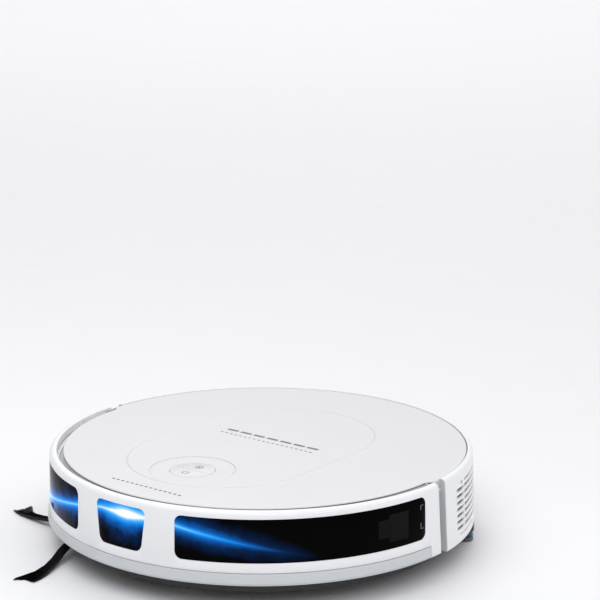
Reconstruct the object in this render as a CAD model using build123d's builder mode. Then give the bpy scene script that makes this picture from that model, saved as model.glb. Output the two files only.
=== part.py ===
"""A round robot vacuum with a mop module, 350 mm across and 80 mm high, in millimetres.

The origin is on the floor under the centre of the body. The front is -Y, up is +Z, and the
robot's own left is +X. A bearing is an angle in degrees, counterclockwise from +X.
"""
from build123d import *
import os
from math import cos, degrees, radians, sin, sqrt

# ---- driving sizes -------------------------------------------------------------------
FRONT = -90                      # bearing of the front of the robot
HEIGHT = 79.6                    # top of the cover
CHASSIS_R = 163.0                # outside of the chassis and of the cover, in front
REAR_R = 169.5                   # outside of the chassis floor behind the bumper
BASE_Z = 12.0                    # underside of the chassis
REAR_Z = 20.0                    # underside of the chassis over the mop module
PLATE = 3.0                      # floor and deck thickness
WALL = 2.0                       # moulded walls
DECK_Z = 68.0                    # underside of the deck
GAP = 0.4                        # clearance round a moving piece

# bumper
BUMPER_HALF = 91.5               # bearing from the front to each end of the bumper
BUMPER_RIM_R = 169.8             # inner edge of the rim
BUMPER_R = 174.2                 # outside at the shoulder
BUMPER_FOOT_R = 175.5            # outside at the foot, which is the widest place
BUMPER_Z = 21.0
BUMPER_TOP = 79.0
SHOULDER = 5.0
STRIP_R = 176.6
STRIP_TOP = 31.3
STRIP_HALF = 87.3
WINDOW_Z = (39.0, 73.5)
WINDOW_CORNER = 6.0
FRONT_FOOT = 21.4                # half width of the middle window at its foot
FRONT_HEAD = 25.2                # and at its head
SIDE_WINDOW = (16.5, 85.0)       # bearings off the front of a side window's ends
LENS = 2.0

# rear housing
HOUSING_HALF = 85.2              # bearing from the back to each end of the housing
HOUSING_Z = 19.0
VENT_ROWS = 7
VENT_PITCH = 5.28
VENT_Z = 30.2
VENT_TALL = 2.4
VENT_SLOTS = ((14.3, 12.0), (25.0, 49.0))      # bearing of each slot's middle, and its width along the wall

# wheels: one each side, on an arm that hangs from a pivot in front of the axle
WHEEL_R = 33.0
WHEEL_W = 20.0
WHEEL_X = 118.0
PIVOT = (-38.0, 50.0)            # y and z of the suspension pivot
PIVOT_R = 2.5
WELL_X = (97.5, 130.5)
WELL_Y = 44.0

# front caster
CASTER_STEM_Y = -139.0
CASTER_TRAIL = 4.0
CASTER_R = 9.5
CASTER_W = 12.0
STEM_R = 3.0
FIT = 0.05                       # radial clearance of a running fit

# side brush, at the front on the robot's right
SIDE_BRUSH = (-105.0, -103.0)
SIDE_BRUSH_ARMS = (-72.5, 47.5, 167.5)
# along each arm: reach, offset to its left, height, half width and half thickness
BRISTLES = ((34.1, 0.5, 8.4, 2.4, 1.5), (62, 2.9, 5.0, 3.4, 1.3),
            (80, 3.2, 3.4, 4.6, 1.2), (103, -4.2, 1.6, 8.6, 1.1))

# main brush
BRUSH_Y = 12.0
BRUSH_Z = 23.0
BRUSH_R = 20.8
BRUSH_CORE_R = 9.0
BRUSH_HALF = 74.0
CHAMBER = (78.0, 24.0, 47.0)     # half length, half depth and inner height of the brush chamber

# dust box, which slides out of the back
BIN_HALF = 76.0
BIN_FRONT = 42.0
BIN_R = 172.4
BIN_Z = (25.0, 67.0)
INLET = (36.0, 27.0, 45.0)       # half width, lowest and highest z of the throat
FAN_AXIS = (84.0, 46.0)          # y and z of the suction fan's shaft

# mop module
MOP_R = 175.0
MOP_FRONT = 85.0
CLOTH = 3.2
MOP_PLATE_TOP = 9.0
TANK_TOP = 18.4

# battery and laser
BATTERY = (60.0, -84.0, -32.0, 16.0, 38.0)      # half width, y from and to, z from and to
LASER_Y = -118.0
LASER_R = 26.0
PULLEY = (40.0, -136.0)
PULLEY_R = 5.2

# cover
COVER_REAR_R = 167.7
COVER_T = 3.0
SHOULDER_R = 77.0                # raised shoulder line: half a running track's width
SHOULDER_Y = (-50.0, 27.0)
DISH_Y = -88.0
DISH_R = 34.0
KEY_R = 18.0

os.makedirs("parts", exist_ok=True)
made = {}


def keep(part, name):
    """Labels a finished piece and writes its STEP file."""
    part.label = name
    made[name] = part
    export_step(part, f"parts/{name}.step")


def upright(bearing):
    """The upright plane at a bearing: its x is the radius and its y is the height."""
    turn = radians(bearing)
    return Plane(origin=(0, 0, 0), x_dir=(cos(turn), sin(turn), 0), z_dir=(sin(turn), -cos(turn), 0))


def ring(profile, start, end):
    """A piece turned about the centre line from a closed outline of (radius, height) points."""
    with BuildPart() as turned:
        with BuildSketch(upright(start)):
            with BuildLine():
                Polyline(*profile, close=True)
            make_face()
        revolve(axis=Axis.Z, revolution_arc=end - start)
    return turned.part


def block(x, y, z):
    """A plain box between pairs of limits."""
    with BuildPart() as made_block:
        with BuildSketch(Plane.XY.offset(z[0])):
            with Locations(((x[0] + x[1]) / 2, (y[0] + y[1]) / 2)):
                Rectangle(x[1] - x[0], y[1] - y[0])
        extrude(amount=z[1] - z[0])
    return made_block.part


def disc(radius, z, at=(0, 0)):
    """A plain disc between two heights."""
    with BuildPart() as made_disc:
        with BuildSketch(Plane.XY.offset(z[0])):
            with Locations(at):
                Circle(radius)
        extrude(amount=z[1] - z[0])
    return made_disc.part


def rod(radius, x, at):
    """A plain rod along X, centred on a (y, z) place."""
    with BuildPart() as made_rod:
        with BuildSketch(Plane.YZ.offset(x[0])):
            with Locations(at):
                Circle(radius)
        extrude(amount=x[1] - x[0])
    return made_rod.part


def span(side, near, far):
    """Limits along X on one side of the robot, nearest the middle first."""
    return (near, far) if side > 0 else (-far, -near)


# ---- chassis -------------------------------------------------------------------------
POSTS = ((62, -118), (-62, -118), (140, -46), (-140, -46), (146, 24), (-146, 24), (92, 122), (-92, 122))
CASTER_CUP_R = 16.2
HATCH = (62.0, -87.0, -29.0)                    # half width, y from and to

BASE_TOP = 36.0                                 # top of the chassis wall
INTO = 1.5                                      # how far joined solids run into each other
with BuildPart() as rear_floor:
    add(disc(CHASSIS_R - INTO, (REAR_Z, REAR_Z + PLATE)))
    add(block((-200, 200), (-200, MOP_FRONT - INTO), (0, 80)), mode=Mode.SUBTRACT)

with BuildPart() as chassis_base:
    add(disc(CHASSIS_R, (BASE_Z, BASE_TOP)))
    add(disc(CHASSIS_R - PLATE, (BASE_Z + PLATE, BASE_TOP)), mode=Mode.SUBTRACT)
    add(block((-200, 200), (MOP_FRONT, 200), (0, REAR_Z)), mode=Mode.SUBTRACT)
    add(rear_floor.part)
    add(block((-138, 138), (MOP_FRONT - PLATE, MOP_FRONT), (BASE_Z + 1, REAR_Z + PLATE)))
    add(ring(((CHASSIS_R - INTO, REAR_Z), (REAR_R, REAR_Z), (REAR_R, REAR_Z + PLATE),
              (CHASSIS_R - INTO, REAR_Z + PLATE)), 7, 173))
    for place in POSTS:
        add(disc(4, ((BASE_Z if place[1] < MOP_FRONT else REAR_Z) + 1, DECK_Z), place))
    add(disc(CASTER_CUP_R + WALL, (BASE_Z + 1, 24.2), (0, CASTER_STEM_Y)))
    add(disc(6, (BASE_Z + 1, 33), (0, CASTER_STEM_Y)))
    # openings
    add(block((-CHAMBER[0], CHAMBER[0]), (BRUSH_Y - CHAMBER[1], BRUSH_Y + CHAMBER[1]),
              (0, BASE_Z + PLATE)), mode=Mode.SUBTRACT)
    for side in (1, -1):
        add(block(span(side, *WELL_X), (-WELL_Y, WELL_Y), (0, BASE_Z + PLATE)), mode=Mode.SUBTRACT)
    add(disc(CASTER_CUP_R, (0, 22.2), (0, CASTER_STEM_Y)), mode=Mode.SUBTRACT)
    add(disc(STEM_R + FIT, (0, 40), (0, CASTER_STEM_Y)), mode=Mode.SUBTRACT)
    add(block((-HATCH[0], HATCH[0]), HATCH[1:], (0, BASE_Z + PLATE)), mode=Mode.SUBTRACT)
    add(block((-BIN_HALF - 1, BIN_HALF + 1), (BIN_FRONT - 1, 180), (REAR_Z + PLATE, 80)),
        mode=Mode.SUBTRACT)
    add(disc(13.5, (0, BASE_Z + PLATE), SIDE_BRUSH), mode=Mode.SUBTRACT)
    for place in POSTS:
        foot = BASE_Z if place[1] < MOP_FRONT else REAR_Z
        add(disc(3.2, (foot, foot + 1.8), place), mode=Mode.SUBTRACT)
        add(disc(1.5, (foot, foot + 14), place), mode=Mode.SUBTRACT)
keep(chassis_base.part, "chassis_base")

with BuildPart() as brush_chamber:
    add(block((-CHAMBER[0] - WALL, CHAMBER[0] + WALL),
              (BRUSH_Y - CHAMBER[1] - WALL, BRUSH_Y + CHAMBER[1] + WALL),
              (BASE_Z + PLATE, CHAMBER[2] + WALL)))
    fillet(brush_chamber.edges().filter_by(Axis.X).group_by(Axis.Z)[-1], 6)
    add(block((-CHAMBER[0], CHAMBER[0]), (BRUSH_Y - CHAMBER[1], BRUSH_Y + CHAMBER[1]),
              (0, CHAMBER[2])), mode=Mode.SUBTRACT)
    add(block((-INLET[0], INLET[0]), (BRUSH_Y, BIN_FRONT), INLET[1:]), mode=Mode.SUBTRACT)
keep(brush_chamber.part, "brush_chamber")

with BuildPart() as chassis_screws:
    for place in POSTS:
        foot = BASE_Z if place[1] < MOP_FRONT else REAR_Z
        add(disc(3.0, (foot + 0.2, foot + 1.8), place))
        add(disc(1.4, (foot + 1.8, foot + 12), place))
keep(chassis_screws.part, "chassis_screws")

# ---- rear housing: the painted side wall behind the bumper ---------------------------
HOUSING = ((168.3, 79), (169.8, 79), (171.4, 78.2), (172.5, 76.6), (172.8, 74.5),
           (175, HOUSING_Z + 1.5), (174, HOUSING_Z), (171.6, HOUSING_Z), (170.1, 70.5), (168.3, 70.5))
TONGUE = (166.8, 168.6)          # radii of the tongue that closes the notch behind the bumper's end
TONGUE_FROM = -5.0               # bearing of its front edge on the robot's left
HOUSING_FROM = 90 - HOUSING_HALF


def vent(bearing, width, row):
    """One louvre slot through the housing wall, at a bearing and with a width along the wall."""
    z = VENT_Z + row * VENT_PITCH
    half = degrees(width / 2 / BUMPER_R)
    top = z + VENT_TALL
    return ring(((165, z), (180, z), (180, top), (165, top)), bearing - half, bearing + half)


with BuildPart() as rear_housing:
    add(ring(HOUSING, HOUSING_FROM, 180 - HOUSING_FROM))
    tongue = ((TONGUE[0], HOUSING_Z), (TONGUE[1], HOUSING_Z), (TONGUE[1], 70.4), (TONGUE[0], 70.4))
    lip = ((TONGUE[0], 70), (TONGUE[1], 70), (TONGUE[1], BUMPER_TOP - 2), (TONGUE[0], BUMPER_TOP - 2))
    web = ((TONGUE[0], HOUSING_Z + 0.5), (172.2, HOUSING_Z + 0.5), (171.2, 70), (TONGUE[0], 70))
    for mirrored in (False, True):
        for outline, start, end in ((tongue, TONGUE_FROM, HOUSING_FROM + 1), (lip, TONGUE_FROM, 1.6),
                                    (web, HOUSING_FROM + 0.02, HOUSING_FROM + 1)):
            low, high = (180 - end, 180 - start) if mirrored else (start, end)
            add(ring(outline, low, high))
    add(block((-BIN_HALF - 1, BIN_HALF + 1), (100, 180), (24, 68)), mode=Mode.SUBTRACT)
    for row in range(VENT_ROWS):
        for bearing, width in VENT_SLOTS:
            add(vent(bearing, width, row), mode=Mode.SUBTRACT)
            add(vent(180 - bearing, width, row), mode=Mode.SUBTRACT)
keep(rear_housing.part, "rear_housing")

# ---- deck ----------------------------------------------------------------------------
with BuildPart() as deck_frame:
    with BuildSketch(Plane.XY.offset(DECK_Z)):
        Circle(166.3)
        with Locations((WHEEL_X - 4, 0), (4 - WHEEL_X, 0)):
            Rectangle(44, 96, mode=Mode.SUBTRACT)
        with Locations((0, 100), (52, -34), (-52, -34)):
            RectangleRounded(84, 44, 8, mode=Mode.SUBTRACT)
    extrude(amount=PLATE)
    for place in POSTS:
        add(disc(1.5, (DECK_Z, DECK_Z + PLATE), place), mode=Mode.SUBTRACT)
keep(deck_frame.part, "deck_frame")

# ---- cover ---------------------------------------------------------------------------
PLATE_Z = HEIGHT - COVER_T
KEY_TOP = HEIGHT - 0.6


def track(half_width, z, amount, outside=0.0):
    """A plate with the outline of a running track: two half circles joined by straights."""
    with BuildPart() as plate:
        with BuildSketch(Plane.XY.offset(z)):
            with Locations((0, SHOULDER_Y[0]), (0, SHOULDER_Y[1])):
                Circle(half_width + outside)
            with Locations((0, (SHOULDER_Y[0] + SHOULDER_Y[1]) / 2)):
                Rectangle(2 * (half_width + outside), SHOULDER_Y[1] - SHOULDER_Y[0])
        extrude(amount=amount)
    return plate.part


with BuildPart() as top_cover:
    with BuildSketch(Plane.XY.offset(DECK_Z + PLATE)):
        Circle(CHASSIS_R)
    extrude(amount=HEIGHT - 0.6 - DECK_Z - PLATE)
    with BuildSketch(Plane.XY.offset(DECK_Z + PLATE)):
        Circle(COVER_REAR_R)
        with Locations((0, -94)):
            Rectangle(400, 200, mode=Mode.SUBTRACT)
    extrude(amount=HEIGHT - 0.6 - DECK_Z - PLATE)
    chamfer(top_cover.faces().sort_by(Axis.Z)[-1].outer_wire().edges(), 0.5)
    add(disc(CHASSIS_R - 2.5, (DECK_Z + PLATE, PLATE_Z)), mode=Mode.SUBTRACT)
    add(track(SHOULDER_R, HEIGHT - 0.6, 0.6, 1.0))
    add(track(SHOULDER_R, HEIGHT - 0.3, 0.3, -1.0), mode=Mode.SUBTRACT)
    add(disc(DISH_R, (KEY_TOP, HEIGHT), (0, DISH_Y)), mode=Mode.SUBTRACT)
    add(disc(KEY_R + GAP, (PLATE_Z - 1, HEIGHT), (0, DISH_Y)), mode=Mode.SUBTRACT)
keep(top_cover.part, "top_cover")


def key(side):
    """A half-moon key with a stem over its switch; side is 1 for the rear key."""
    with BuildPart() as half_moon:
        with BuildSketch(Plane.XY.offset(PLATE_Z + 0.2)):
            with Locations((0, DISH_Y)):
                Circle(KEY_R)
            with Locations((0, DISH_Y - side * (KEY_R - GAP / 2))):
                Rectangle(60, 2 * KEY_R, mode=Mode.SUBTRACT)
        extrude(amount=KEY_TOP - PLATE_Z - 0.2)
        with BuildSketch(Plane.XY.offset(75.0)):
            with Locations((0, DISH_Y + side * 9)):
                Circle(3)
        extrude(amount=PLATE_Z + 0.2 - 75.0)
    return half_moon.part


keep(key(1), "home_key")
keep(key(-1), "power_key")

with BuildPart() as key_board:
    with BuildSketch(Plane.XY.offset(DECK_Z + PLATE)):
        with Locations((0, DISH_Y)):
            RectangleRounded(44, 34, 3)
    extrude(amount=1.4)
    with BuildSketch(Plane.XY.offset(DECK_Z + PLATE + 1.4)):
        with Locations((0, DISH_Y + 9), (0, DISH_Y - 9)):
            Rectangle(6, 6)
    extrude(amount=1.6)
keep(key_board.part, "key_board")

# ---- bumper --------------------------------------------------------------------------
BUMPER = ((BUMPER_RIM_R, BUMPER_TOP), (171.0, BUMPER_TOP - 0.2), (172.6, BUMPER_TOP - 1.2),
          (173.8, BUMPER_TOP - 3), (BUMPER_R, BUMPER_TOP - SHOULDER), (BUMPER_FOOT_R, BUMPER_Z),
          (172.6, BUMPER_Z), (171.5, 70.5), (BUMPER_RIM_R, 72.5))
STRIP = ((174.4, STRIP_TOP), (176.2, STRIP_TOP), (STRIP_R, STRIP_TOP - 0.8), (STRIP_R + 0.1, 23.4),
         (175.4, BUMPER_Z), (174.4, BUMPER_Z))


def side_window_tool(side, start, end):
    """The cutter of a long side window, from one bearing off the front to another."""
    low, high = (FRONT + start, FRONT + end) if side > 0 else (FRONT - end, FRONT - start)
    with BuildPart() as tool:
        with BuildSketch(upright(low)):
            with BuildLine():
                Polyline((168, WINDOW_Z[0]), (180, WINDOW_Z[0]),
                         (180, WINDOW_Z[1]), (168, WINDOW_Z[1]), close=True)
            make_face()
        revolve(axis=Axis.Z, revolution_arc=high - low)
        straight = tool.edges().filter_by(GeomType.LINE)
        fillet([edge for edge in straight if abs((edge @ 0).Z - (edge @ 1).Z) < 1], WINDOW_CORNER)
    return tool.part


def front_window_tool():
    """The cutter of the middle window, which is wider at its top."""
    with BuildPart() as tool:
        with BuildSketch(Plane.XZ.offset(160)) as outline:
            with BuildLine():
                Polyline((-FRONT_FOOT, WINDOW_Z[0]), (FRONT_FOOT, WINDOW_Z[0]),
                         (FRONT_HEAD, WINDOW_Z[1]), (-FRONT_HEAD, WINDOW_Z[1]), close=True)
            make_face()
            fillet(outline.vertices(), WINDOW_CORNER)
        extrude(amount=20)
    return tool.part


tools = {
    "window_left": side_window_tool(1, *SIDE_WINDOW),
    "window_right": side_window_tool(-1, *SIDE_WINDOW),
    "window_front": front_window_tool(),
}

with BuildPart() as bumper_shell:
    add(ring(BUMPER, FRONT - BUMPER_HALF, FRONT + BUMPER_HALF))
    add(ring(((174.4, STRIP_TOP), (180, STRIP_TOP), (180, 20), (174.4, 20)),
             FRONT - STRIP_HALF, FRONT + STRIP_HALF), mode=Mode.SUBTRACT)
    for tool in tools.values():
        add(tool, mode=Mode.SUBTRACT)
keep(bumper_shell.part, "bumper_shell")
keep(ring(STRIP, FRONT - STRIP_HALF, FRONT + STRIP_HALF), "bumper_strip")

LENS_FOOT = BUMPER_FOOT_R - 0.5
for name, tool in tools.items():
    with BuildPart() as lens:
        add(ring(((BUMPER_R - 0.35, BUMPER_TOP - SHOULDER), (LENS_FOOT, BUMPER_Z),
                  (LENS_FOOT - LENS, BUMPER_Z), (BUMPER_R - 0.35 - LENS, BUMPER_TOP - SHOULDER)),
                 FRONT - BUMPER_HALF, FRONT + BUMPER_HALF))
        add(tool, mode=Mode.INTERSECT)
    keep(lens.part, name)

SPRING_TURNS = 5
SPRING_PITCH = 1.2


def bumper_spring(x):
    """A small return spring between the chassis wall and the bumper."""
    y = -sqrt(CHASSIS_R ** 2 - (abs(x) - 4) ** 2) - 0.6
    with BuildPart() as spring:
        with BuildLine() as wire:
            Helix(pitch=SPRING_PITCH, height=SPRING_TURNS * SPRING_PITCH, radius=3,
                  center=(x, y, 27), direction=(0, -1, 0))
        with BuildSketch(Plane(origin=wire.line @ 0, z_dir=wire.line % 0)):
            Circle(0.35)
        sweep(is_frenet=True)
    return spring.part


with BuildPart() as bumper_springs:
    add(bumper_spring(60))
    add(bumper_spring(-60))
keep(bumper_springs.part, "bumper_springs")

with BuildPart() as bump_switches:
    for x in (95, -95):
        y = -sqrt(158 ** 2 - x ** 2)
        add(block((x - 5, x + 5), (y, y + 8), (38, 44)))
keep(bump_switches.part, "bump_switches")

# ---- wheel modules -------------------------------------------------------------------
PIN_X = (WELL_X[0] - WALL, WELL_X[1] + WALL)
ARM_X = (99.0, 106.4)
MOTOR_AT = (-19.0, 41.5)
TYRE_X = (WHEEL_X - WHEEL_W / 2, WHEEL_X + WHEEL_W / 2)
HUB_R = 26.0


def wheel_module(side, name):
    """The cradle, arm, motor, hub and tyre of one driven wheel."""
    with BuildPart() as cradle:
        add(block(span(side, *PIN_X), (-WELL_Y - WALL, WELL_Y + WALL), (BASE_Z + PLATE, 67.8)))
        add(block(span(side, *WELL_X), (-WELL_Y, WELL_Y), (0, 66.6)), mode=Mode.SUBTRACT)
        add(block(span(side, 90, 98), (-40, 2), (18, 60)), mode=Mode.SUBTRACT)
        add(block(span(side, 90, 98), (PIVOT[0] - 6, PIVOT[0] + 6), (PIVOT[1] - 6, 62)))
        add(block(span(side, 90, PIN_X[0]), (-60, 60), (0, 80)), mode=Mode.SUBTRACT)
        add(rod(PIVOT_R, span(side, 90, 140), PIVOT), mode=Mode.SUBTRACT)
    keep(cradle.part, f"wheel_cradle_{name}")

    with BuildPart() as arm:
        with BuildSketch(Plane.YZ.offset(span(side, *ARM_X)[0])):
            with Locations(PIVOT):
                Circle(5)
            with Locations((0, WHEEL_R)):
                Circle(17)
            make_hull()
        extrude(amount=ARM_X[1] - ARM_X[0])
        add(rod(PIVOT_R + FIT, span(side, 90, 140), PIVOT), mode=Mode.SUBTRACT)
        add(rod(3, span(side, ARM_X[1], TYRE_X[1] - 4), (0, WHEEL_R)))
        fillet(arm.faces().filter_by(Axis.X).sort_by(SortBy.AREA)[-1].outer_wire().edges(), 1.2)
    keep(arm.part, f"suspension_arm_{name}")

    with BuildPart() as motor:
        add(rod(12, span(side, 83, ARM_X[0]), MOTOR_AT))
        add(rod(5, span(side, 81.5, 83), MOTOR_AT))
    keep(motor.part, f"drive_motor_{name}")

    with BuildPart() as hub:
        add(rod(HUB_R, span(side, *TYRE_X), (0, WHEEL_R)))
        add(rod(HUB_R - 4, span(side, TYRE_X[1] - 6, TYRE_X[1] + 1), (0, WHEEL_R)), mode=Mode.SUBTRACT)
        add(rod(7, span(side, TYRE_X[1] - 8, TYRE_X[1] - 2), (0, WHEEL_R)))
        add(rod(3 + FIT, span(side, 90, TYRE_X[1] - 3.5), (0, WHEEL_R)), mode=Mode.SUBTRACT)
    keep(hub.part, f"wheel_hub_{name}")

    with BuildPart() as tyre:
        with BuildSketch(Plane.YZ.offset(span(side, *TYRE_X)[0])):
            with Locations((0, WHEEL_R)):
                Circle(WHEEL_R - 1.6)
        extrude(amount=WHEEL_W)
        with BuildSketch(Plane.YZ.offset(span(side, *TYRE_X)[0] + 1.0)):
            with Locations((0, WHEEL_R)):
                with PolarLocations(WHEEL_R - 1.4, 30):
                    Rectangle(2.8, 3.6)
        extrude(amount=WHEEL_W - 2.0)
        add(rod(HUB_R, span(side, 90, 140), (0, WHEEL_R)), mode=Mode.SUBTRACT)
    keep(tyre.part, f"tyre_{name}")


wheel_module(1, "left")
wheel_module(-1, "right")

with BuildPart() as suspension_pins:
    for side in (1, -1):
        add(rod(PIVOT_R, span(side, *PIN_X), PIVOT))
keep(suspension_pins.part, "suspension_pins")

with BuildPart() as suspension_springs:
    for side in (1, -1):
        with BuildSketch(Plane.YZ.offset(span(side, 108, 126)[0])):
            with Locations(PIVOT):
                Circle(4.6)
                Circle(2.9, mode=Mode.SUBTRACT)
        extrude(amount=18)
keep(suspension_springs.part, "suspension_springs")

# ---- caster --------------------------------------------------------------------------
CASTER_Y = CASTER_STEM_Y + CASTER_TRAIL
CHEEK = (CASTER_W / 2 + 0.4, CASTER_W / 2 + 2.6)
with BuildPart() as caster_fork:
    add(disc(CASTER_CUP_R - 0.6, (19.6, 21.6), (0, CASTER_STEM_Y)))
    add(disc(STEM_R, (21.6, 34), (0, CASTER_STEM_Y)))
    for side in (1, -1):
        add(block(span(side, *CHEEK), (CASTER_Y - 5, CASTER_Y + 5), (6, 19.6)))
    add(rod(1.5, (-CHEEK[1] - 1, CHEEK[1] + 1), (CASTER_Y, CASTER_R)), mode=Mode.SUBTRACT)
    fillet(caster_fork.edges().filter_by(Axis.X).sort_by(Axis.Z)[0:4], 2.5)
keep(caster_fork.part, "caster_fork")
keep(rod(1.5, (-CHEEK[1], CHEEK[1]), (CASTER_Y, CASTER_R)), "caster_axle")
with BuildPart() as caster_wheel:
    add(rod(CASTER_R, (-CASTER_W / 2, CASTER_W / 2), (CASTER_Y, CASTER_R)))
    fillet(caster_wheel.edges().filter_by(GeomType.CIRCLE), 2.0)
    add(rod(1.5 + FIT, (-10, 10), (CASTER_Y, CASTER_R)), mode=Mode.SUBTRACT)
keep(caster_wheel.part, "caster_wheel")

# ---- side brush ----------------------------------------------------------------------
HUB_TOP = 11.0
COLLAR = 34.0
with BuildPart() as side_brush_gearbox:
    add(disc(12.4, (BASE_Z + 0.4, 30), SIDE_BRUSH))
    add(block((-118, -92), (-100, -74), (BASE_Z + PLATE, 34)))
    add(disc(2.6, (7.5, BASE_Z + 0.4), SIDE_BRUSH))
    add(disc(8, (30, 40), (SIDE_BRUSH[0], SIDE_BRUSH[1] + 14)))
keep(side_brush_gearbox.part, "side_brush_gearbox")


def brush_frame(bearing, z):
    """A plane at a height over the side brush's shaft, with x along one arm."""
    turn = radians(bearing)
    return Plane(origin=(*SIDE_BRUSH, z), x_dir=(cos(turn), sin(turn), 0), z_dir=(0, 0, 1))


with BuildPart() as side_brush_hub:
    add(disc(11, (6.4, HUB_TOP), SIDE_BRUSH))
    for bearing in SIDE_BRUSH_ARMS:
        with BuildSketch(brush_frame(bearing, 6.8)):
            with Locations((COLLAR / 2, 0)):
                SlotOverall(COLLAR, 6)
        extrude(amount=3.6)
    add(disc(2.7, (0, 20), SIDE_BRUSH), mode=Mode.SUBTRACT)
keep(side_brush_hub.part, "side_brush_hub")


def bristle_arm(bearing):
    """One bundle of bristles, bending down to the floor and fanning out."""
    turn = radians(bearing)
    root = brush_frame(bearing, 8.6)
    with BuildPart() as bundle:
        for reach, aside, z, half, thick in BRISTLES:
            centre = (SIDE_BRUSH[0] + reach * cos(turn) - aside * sin(turn),
                      SIDE_BRUSH[1] + reach * sin(turn) + aside * cos(turn), z)
            with BuildSketch(Plane(origin=centre, x_dir=(-sin(turn), cos(turn), 0), z_dir=root.x_dir)):
                Ellipse(half, thick)
        loft()
    return bundle.part


with BuildPart() as side_brush_bristles:
    for bearing in SIDE_BRUSH_ARMS:
        add(bristle_arm(bearing))
keep(side_brush_bristles.part, "side_brush_bristles")

# ---- main brush ----------------------------------------------------------------------
BLADES = 6
BLADE_TWIST = 70.0
with BuildPart() as main_brush_core:
    add(rod(BRUSH_CORE_R, (-BRUSH_HALF, BRUSH_HALF), (BRUSH_Y, BRUSH_Z)))
    add(rod(3.0, (BRUSH_HALF, BRUSH_HALF + 3.4), (BRUSH_Y, BRUSH_Z)))
    add(rod(3.0, (-BRUSH_HALF - 3.4, -BRUSH_HALF), (BRUSH_Y, BRUSH_Z)))
keep(main_brush_core.part, "main_brush_core")


def half_blades(side):
    """The twisted blades and bristle rows on one half of the core, leaning in a V."""
    start = Plane(origin=(0, BRUSH_Y, BRUSH_Z), x_dir=(0, 1, 0), z_dir=(side, 0, 0))
    with BuildSketch(start) as section:
        with PolarLocations((BRUSH_CORE_R + BRUSH_R) / 2, BLADES, start_angle=10):
            Rectangle(BRUSH_R - BRUSH_CORE_R, 2.2)
        Circle(BRUSH_CORE_R + 0.9)
        Circle(BRUSH_CORE_R, mode=Mode.SUBTRACT)
    outline = section.sketch.faces()[0]
    length = Vector(side * (BRUSH_HALF - 1), 0, 0)
    with BuildPart() as twisted:
        add(Solid.extrude_linear_with_rotation(outline, outline.center(), length, side * BLADE_TWIST))
    return twisted.part


with BuildPart() as main_brush_blades:
    add(half_blades(1))
    add(half_blades(-1))
keep(main_brush_blades.part, "main_brush_blades")

with BuildPart() as brush_end_caps:
    for side in (1, -1):
        add(block(span(side, BRUSH_HALF + 0.6, CHAMBER[0]), (BRUSH_Y - 8, BRUSH_Y + 8), (14, 32)))
        add(rod(3.0 + FIT, span(side, 70, 90), (BRUSH_Y, BRUSH_Z)), mode=Mode.SUBTRACT)
keep(brush_end_caps.part, "brush_end_caps")

GUARD_Z = (10.4, BASE_Z)
with BuildPart() as brush_guard:
    with BuildSketch(Plane.XY.offset(GUARD_Z[0])):
        with Locations((0, BRUSH_Y)):
            RectangleRounded(2 * CHAMBER[0] + 16, 2 * CHAMBER[1] + 14, 5)
            Rectangle(2 * CHAMBER[0] - 4, 2 * CHAMBER[1] - 4, mode=Mode.SUBTRACT)
    extrude(amount=GUARD_Z[1] - GUARD_Z[0])
keep(brush_guard.part, "brush_guard")

with BuildPart() as brush_drive:
    add(block((-95, -CHAMBER[0] - WALL), (-3, 34), (BASE_Z + PLATE, 42)))
    add(rod(11, (-94, -CHAMBER[0] - WALL - 0.5), (50, 30)))
    add(block((-94, -CHAMBER[0] - WALL), (34, 40), (24, 36)))
keep(brush_drive.part, "brush_drive")

# ---- battery, boards and laser -------------------------------------------------------
with BuildPart() as battery_pack:
    add(block((-BATTERY[0], BATTERY[0]), BATTERY[1:3], BATTERY[3:]))
    fillet(battery_pack.edges().filter_by(Axis.X), 8)
    fillet(battery_pack.edges().filter_by(Axis.Y), 1.5)
keep(battery_pack.part, "battery_pack")

with BuildPart() as battery_hatch:
    add(block((-HATCH[0] + GAP, HATCH[0] - GAP), (HATCH[1] + GAP, HATCH[2] - GAP), (BASE_Z, BASE_Z + 2.4)))
    fillet(battery_hatch.edges().filter_by(Axis.Z), 3)
    for x in (50, -50):
        add(disc(3.2, (BASE_Z, BASE_Z + 1.6), (x, HATCH[1] + 6)), mode=Mode.SUBTRACT)
keep(battery_hatch.part, "battery_hatch")

with BuildPart() as main_board:
    add(block((-68, 68), (-88, -20), (50, 51.6)))
    for x, y, wide, tall in ((-40, -60, 22, 3), (5, -50, 16, 2), (42, -68, 14, 8), (46, -36, 10, 9)):
        add(block((x - wide / 2, x + wide / 2), (y - wide / 2, y + wide / 2), (51.6, 51.6 + tall)))
keep(main_board.part, "main_board")

with BuildPart() as laser_base:
    with BuildSketch(Plane.XY.offset(37)):
        with Locations((0, LASER_Y)):
            Circle(LASER_R + 2)
        with Locations(PULLEY):
            Circle(10)
        with Locations((20, (LASER_Y + PULLEY[1]) / 2)):
            Rectangle(44, 18)
    extrude(amount=3)
    add(disc(5, (40, 44), (0, LASER_Y)))
    add(disc(7, (24, 37), PULLEY))
keep(laser_base.part, "laser_base")

with BuildPart() as laser_head:
    add(disc(LASER_R, (40.6, 60), (0, LASER_Y)))
    add(disc(5 + FIT, (40, 44.4), (0, LASER_Y)), mode=Mode.SUBTRACT)
    add(block((-18, 18), (LASER_Y - 40, LASER_Y - LASER_R + 8), (48, 57)), mode=Mode.SUBTRACT)
    with BuildSketch(Plane.XZ.offset(LASER_R - LASER_Y - 8)):
        with Locations((-9, 52.5), (9, 52.5)):
            Circle(3.4)
    extrude(amount=5)
keep(laser_head.part, "laser_head")

keep(disc(PULLEY_R, (40.6, 46), PULLEY), "laser_pulley")

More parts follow.
